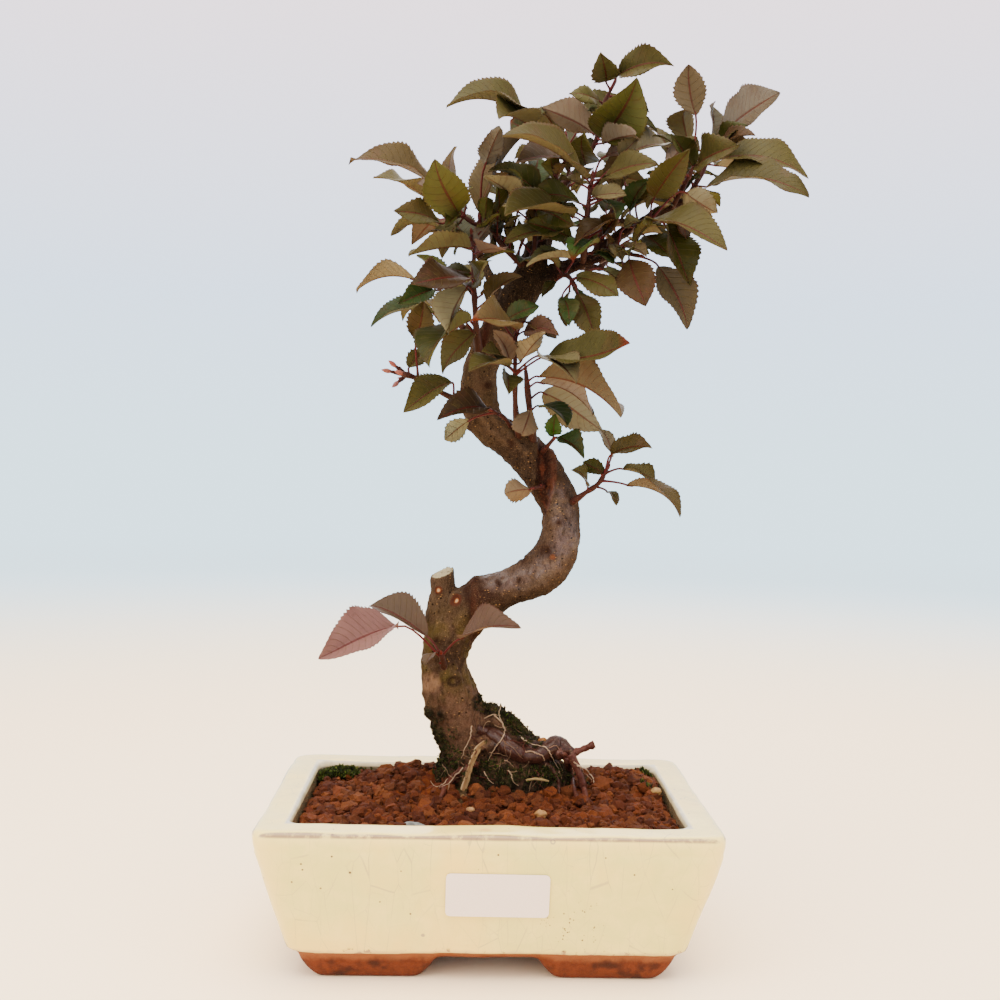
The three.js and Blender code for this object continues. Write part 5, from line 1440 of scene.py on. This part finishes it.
class Blade:
    """A leaf's blade: its axes and size, its teeth, and the chance bends that set it apart."""

    def __init__(self, leaf, draw):
        self.leaf = leaf
        self.axis = leaf["tip"] - leaf["base"]
        self.length = self.axis.length
        self.axis.normalize()
        self.normal = (leaf["normal"] - self.axis * leaf["normal"].dot(self.axis)).normalized()
        self.across = self.normal.cross(self.axis)
        self.half = leaf["width"] / 2 * FULLNESS
        teeth = max(6, int(self.length / TOOTH_PITCH))
        self.stations = [(0.0, 1.0), (0.35 / teeth, 0.93)]
        for k in range(teeth):
            notch = 1 - TOOTH_DEPTH / self.half * draw.uniform(0.7, 1.3)
            self.stations += [((k + 0.8) / (teeth + 0.2), 1.0), ((k + 0.98) / (teeth + 0.2), notch)]
        self.stations.append((1.0, 1.0))
        self.curl = draw.uniform(-1.6, 0.8)
        self.droop = draw.uniform(0.2, 2.4) * (1 if leaf["side"] > 0 else -0.6)
        self.ripple = draw.uniform(0.8, 1.9)
        self.fold = draw.uniform(0.3, 0.75)
        self.billow = draw.uniform(0.2, 1.0) * self.half * 0.13
        self.sway = draw.uniform(-0.05, 0.05) * self.length
        self.beat = draw.uniform(2.6, 3.6)
        self.twist = draw.uniform(-0.75, 0.75)
        self.skew = draw.uniform(0.84, 1.16)

    def share(self, u):
        """How wide the blade is at a share of its length: a larger skew is wider towards the tip."""
        return math.sin(math.pi * u ** self.skew) ** 0.66 * (1 - 0.42 * u ** 5) if 0 < u < 1 else 0.0

    def place(self, u, v, reach, above):
        """The place at u along and v across, on the upper side, 1, or the lower one, -1."""
        wave, width = self.leaf["wave"], self.share(u)
        out = v * self.half * width * (reach if abs(v) == 1 else 1.0)
        lift = self.leaf["arch"] * 4 * u * (1 - u) + abs(out) * self.fold
        lift += abs(v) * math.sin(u * 9 + wave + v) * 0.7
        lift += abs(v) ** 3 * math.sin(u * self.length / self.beat + wave * 2 + v) * self.ripple * 0.5
        lift += v * v * math.sin(u * 6.5 + wave * 3 + v * 1.3) * self.billow
        lift += self.curl * v * v * width - self.droop * max(0, u - 0.55) ** 2 * 4
        run = u * self.length - VEIN_LEAN * self.length * abs(v) ** VEIN_BEND
        quilt = math.cos(2 * math.pi * run / VEIN_PITCH)
        lift += 0.16 * quilt * abs(v) * (1 - abs(v)) * 3 * width
        rib = (1 - u * 0.8) * (0.42 if v == 0 else 0.0)
        height = lift - rib * (0.35 if above > 0 else 1) + above * BLADE_HALF * (1 - 0.35 * abs(v))
        turn = self.twist * (u - 0.25)
        aside = out * math.cos(turn) - height * math.sin(turn) + self.sway * 4 * u * (1 - u)
        rise = out * math.sin(turn) + height * math.cos(turn)
        return self.leaf["base"] + self.axis * (self.length * u) + self.across * aside + self.normal * rise


def blade_faces(rows, cols):
    """Faces of an upper and a lower skin of rows by cols points, and of the edge between them."""
    lower = rows * cols
    faces = []

    def close(a, b, flip):
        faces.append((a, a + lower, b + lower, b) if flip else (a, b, b + lower, a + lower))

    for i in range(rows - 1):
        for j in range(cols - 1):
            a, b = i * cols + j, i * cols + j + 1
            faces.append((a, b, b + cols, a + cols))
            faces.append((lower + a, lower + a + cols, lower + b + cols, lower + b))
        for j, flip in ((0, False), (cols - 1, True)):
            close(i * cols + j, (i + 1) * cols + j, flip)
    for i, flip in ((0, True), (rows - 1, False)):
        for j in range(cols - 1):
            close(i * cols + j, i * cols + j + 1, flip)
    return faces


def young(tone):
    """A stalk's, bud's or stem's values: one tone on both faces, and no place on a blade."""
    return tone, tone, (0, 0, 1), (1, 0, 0)


def add_leaf(shape, leaf, draw):
    """A toothed blade, folded along its rib, arched and waved, on a curved stalk."""
    blade = Blade(leaf, draw)
    shade = draw.uniform(0.86, 1.14)
    tint = np.array([draw.uniform(0.95, 1.05) for _ in range(3)]) * shade
    tones = LEAF_TONES[leaf["tone"].rstrip("*")]
    upper, under = ((*(np.array(colour(tone)) * tint), 1) for tone in tones)
    burnt = leaf["tone"].endswith("*")
    points, values = [], []
    for above in (1, -1):
        for u, reach in blade.stations:
            burn = max(0.0, min(1.0, (u - BURN_START) / 0.1)) if burnt else 0.0
            for v in COLUMNS:
                points.append(blade.place(u, v, reach, above))
                values.append((upper, under, (u, v, above), (blade.length, leaf["wave"], burn)))
    shape.add(points, blade_faces(len(blade.stations), len(COLUMNS)), 0, values)
    add_stalk(shape, leaf, blade, draw)


def add_stalk(shape, leaf, blade, draw):
    """The stalk bows from the stem into the line of the rib."""
    start, base = leaf["start"], leaf["base"]
    gap = (base - start).length
    first = (base - start) * 0.9 + Vector((0, 0, 0.12 * gap))
    last = blade.axis * gap * 0.8
    path = []
    for k in range(7):
        t = k / 6
        h = (2 * t ** 3 - 3 * t * t + 1, t ** 3 - 2 * t * t + t, 3 * t * t - 2 * t ** 3, t ** 3 - t * t)
        path.append(start * h[0] + first * h[1] + base * h[2] + last * h[3])
    sunk = blade.normal * (leaf["arch"] * 0.25 - 0.25)
    path.append(base + blade.axis * min(3.0, blade.length * 0.1) + sunk)
    shape.tube(path, STALK_RADII, 6, 1, young(varied("461a1a", draw)))


def add_bud(shape, at, along, length, tone, draw):
    """A pointed bud, thickest a third of the way up."""
    path = [at + along * length * t for t in (-0.2, 0.1, 0.35, 0.65, 0.9, 1.0)]
    shape.tube(path, [r * length / 4 for r in BUD_RADII], 7, 1, young(varied(tone, draw)))


def add_stem(shape, path, radii):
    """A stem that swells and narrows a little along its way, redder where it is thin."""
    swell = [r * (1 + 0.16 * math.sin(i * 1.9 + r * 9)) for i, r in enumerate(radii)]
    thick, thin = colour("2b1d16"), colour("311a16")
    skins = []
    for radius in radii:
        share = max(0.0, min(1.0, (2.3 - radius) / 1.1))
        skins += [young((*(a + (b - a) * share for a, b in zip(thick, thin)), 1))] * STEM_SIDES
    shape.tube(path, swell, STEM_SIDES, 1, skins + [skins[0], skins[-1]])


def add_small_leaf(shape, at, along, draw):
    """One of the small leaves that stand close round the stem below the big ones."""
    out = Matrix.Rotation(draw.uniform(0, FULL_TURN), 3, along) @ along.orthogonal().normalized()
    out = (out + along * 0.5).normalized()
    size = draw.uniform(12, 19)
    base = at + out * draw.uniform(4, 6)
    tip = base + out * size - Vector((0, 0, size * draw.uniform(0, 0.35)))
    normal = Vector((draw.uniform(-0.4, 0.4), draw.uniform(-0.7, 0.1), 1))
    leaf = dict(start=at, base=base, tip=tip, normal=normal, width=size * 0.5, arch=1.2, side=1)
    add_leaf(shape, dict(leaf, wave=draw.uniform(0, 6), tone=draw.choice(SMALL_TONES)), draw)


def build_shoot(name, stems, leaves, draw, materials):
    """One shoot in one mesh: blades on their stalks, stems with buds, and in the crown small leaves."""
    corners = places_of(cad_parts[name].data)
    finder = kdtree.KDTree(len(corners))
    for i, p in enumerate(corners):
        finder.insert(p, i)
    finder.balance()
    placed = [leaf for leaf in (settled(leaf, finder) for leaf in leaves) if leaf]
    tone, end_length = PALE_BUDS.get(name, (BUD_TONE, END_BUD))
    shape = Shape()
    for leaf in placed:
        add_leaf(shape, leaf, draw)
    for path, radii in stems:
        add_stem(shape, path, radii)
        add_bud(shape, path[-1], (path[-1] - path[-2]).normalized(), end_length, tone, draw)
        for k in range(2, len(path) - 2, 5):
            along = (path[k + 1] - path[k - 1]).normalized()
            lean = (along.orthogonal().normalized() * draw.choice((-1, 1)) + along * 0.9).normalized()
            add_bud(shape, path[k] + lean * radii[k] * 0.7, lean, SIDE_BUD, tone, draw)
            for _ in range(2 if path[k].z > CROWN_FOOT else 0):
                add_small_leaf(shape, path[k], along, draw)
    keys = ("upper", "under", "blade", "leaf")
    shape.piece(name + "_foliage", "leaf", materials, keys, kinds=shape.kinds, replaces=(name,))
    return len(placed), len(leaves)


def fine_stem(rows):
    """A stem's smooth path and its radii, from rows x, y, z, radius."""
    steps = 5 * (len(rows) - 1)
    return curve_points([row[:3] for row in rows], steps), list(evenly([row[3] for row in rows], steps + 1))


def build_shoots():
    materials = [leaf_finish(), stalk_finish()]
    tally = []
    for number, (name, stems, rows) in enumerate(SHOOTS):
        stems = [[(x, y, z, radius) for x, z, y, radius in stem] for stem in stems]
        main = curve_points([row[:3] for row in stems[0]], MAIN_STEPS)
        leaves = [front_leaf(row, main, i) for i, row in enumerate(rows)]
        finer = []
        for path, radii in map(fine_stem, stems):
            finer.append(([seen(p.x, p.z, p.y) for p in path], radii))
        tally.append(build_shoot(name, finer, leaves, random.Random(100 + number), materials))
    for number, (name, stem, count, length, tones) in enumerate(RULED_SHOOTS):
        main = curve_points([row[:3] for row in stem], MAIN_STEPS)
        leaves = list(ruled_leaves(main, count, length, 3 + number, tones.split()))
        tally.append(build_shoot(name, [fine_stem(stem)], leaves, random.Random(200 + number), materials))
    print("leaves placed:", sum(t[0] for t in tally), "of", sum(t[1] for t in tally))


# The studio

HORIZON = "ceebf9"
SKY = [(0, HORIZON), (0.13, "cfe3fa"), (0.34, "f3e4ee"), (0.7, "f4eee6")]
SKY_STRENGTH = 2.8

# The camera's place in millimetres, its yaw, pitch and roll in degrees, and its lens.
CAMERA_PLACE = Vector((-12.26, -640.0, 244.55))
CAMERA_TURNS = (-1.38, 1.73, 1.16)
CAMERA_LENS = 44.757

# Name, place and aim in metres, size, power and tone.
LAMPS = [
    ("top_softbox", (-0.1, -0.35, 1.5), (0, 0, 0.2), 1.5, 58, (1, 0.93, 0.82)),
    ("left_softbox", (-1.3, -0.9, 0.8), (0, 0, 0.2), 1.1, 22, (1, 0.9, 0.78)),
    ("right_softbox", (1.3, -0.7, 0.9), (0, 0, 0.2), 1.1, 9, (1, 0.92, 0.82)),
    ("back_softbox", (0.3, 1.3, 1.1), (0, 0, 0.25), 1.2, 10, (1, 0.97, 0.93)),
]


def build_camera():
    """The photograph's viewpoint: half way up the tree, level but for a slight tilt and roll."""
    yaw, pitch, roll = (math.radians(a) for a in CAMERA_TURNS)
    ahead = Vector((-math.sin(yaw) * math.cos(pitch), math.cos(yaw) * math.cos(pitch), -math.sin(pitch)))
    level = Vector((math.cos(yaw), math.sin(yaw), 0))
    up = level.cross(ahead)
    right = level * math.cos(roll) + up * math.sin(roll)
    top = up * math.cos(roll) - level * math.sin(roll)
    camera = bpy.data.cameras.new("photo_view")
    camera.sensor_width = 36
    camera.lens = CAMERA_LENS
    eye = linked("photo_view", camera)
    turn = Matrix((right, top, -ahead)).transposed().to_4x4()
    eye.matrix_world = Matrix.Translation(SHIFT + CAMERA_PLACE * MM) @ turn
    bpy.context.scene.camera = eye


def lamp(name, place, aim, size, power, tone):
    light = bpy.data.lights.new(name, "AREA")
    light.size = size
    light.energy = power
    light.color = tone
    turn = (Vector(aim) - Vector(place)).to_track_quat("-Z", "Y")
    linked(name, light).matrix_world = Matrix.Translation(Vector(place)) @ turn.to_matrix().to_4x4()


def build_floor():
    """A round floor, finer near the pot, that goes over into the sky's tone far off."""
    rings, sides, radius = 24, 96, 5000
    points = [(0, 0, 0)]
    for i in range(1, rings + 1):
        reach = radius * (i / rings) ** 2
        turns = [2 * math.pi * j / sides for j in range(sides)]
        points += [(reach * math.cos(turn), reach * math.sin(turn), 0) for turn in turns]
    faces = [(0, 1 + j, 1 + (j + 1) % sides) for j in range(sides)]
    for i in range(rings - 1):
        for j in range(sides):
            a, b = 1 + i * sides + j, 1 + i * sides + (j + 1) % sides
            faces.append((a, a + sides, b + sides, b))
    mesh = bpy.data.meshes.new("pale_floor")
    mesh.from_pydata(to_frame(points), [], faces)
    floor = linked("pale_floor", mesh)
    f = Finish("pale_floor", Roughness=0.6, Specular_IOR_Level=0.3)
    distance = f.nodes.new("ShaderNodeVectorMath")
    distance.operation = "LENGTH"
    f.put(distance.inputs[0], f.where)
    far = f.step(distance.outputs["Value"], 900, 3400)
    base = f.mix(f.step(distance.outputs["Value"], 500, 2200), "ffe6bf", HORIZON)
    f.put(f.shader.inputs["Emission Strength"], f.times(far, SKY_STRENGTH))
    f.put(f.shader.inputs["Emission Color"], HORIZON)
    f.put(f.shader.inputs["Specular IOR Level"], f.step(far, 0, 0.5, 0.3, 0))
    mesh.materials.append(f.use(f.mix(far, base, "000000")))


def build_sky():
    world = bpy.data.worlds.new("soft_sky")
    bpy.context.scene.world = world
    world.use_nodes = True
    nodes, links = world.node_tree.nodes, world.node_tree.links
    back = nodes["Background"]
    ramp = nodes.new("ShaderNodeValToRGB")
    height = nodes.new("ShaderNodeSeparateXYZ")
    links.new(nodes.new("ShaderNodeTexCoord").outputs["Generated"], height.inputs[0])
    links.new(height.outputs[2], ramp.inputs[0])
    links.new(ramp.outputs[0], back.inputs[0])
    for number, (place, tone) in enumerate(SKY):
        stops = ramp.color_ramp.elements
        stop = stops[number] if number < 2 else stops.new(place)
        stop.position = place
        stop.color = opaque(tone)
    back.inputs[1].default_value = SKY_STRENGTH


build_pot()
give("blank_label", paper_finish())
net = net_finish()
for side_name in ("left", "right"):
    give(f"drain_screen_{side_name}", net)
give("soil", soil_finish("red_clay_bed", False))
give("moss_clump", moss_finish("moss_cushion", False))
build_grains(build_trunk())

ground_tree = tree_of("bark_and_roots", "soil_grains", "soil", "moss_clump")
build_moss(ground_tree)
build_open_roots(ground_tree)
dressed_tree = tree_of("bark_and_roots", "soil_grains", "soil", "open_roots")
build_stones(dressed_tree)
build_hair_roots(dressed_tree)
build_shoots()
build_camera()
build_floor()
for row in LAMPS:
    lamp(*row)
build_sky()
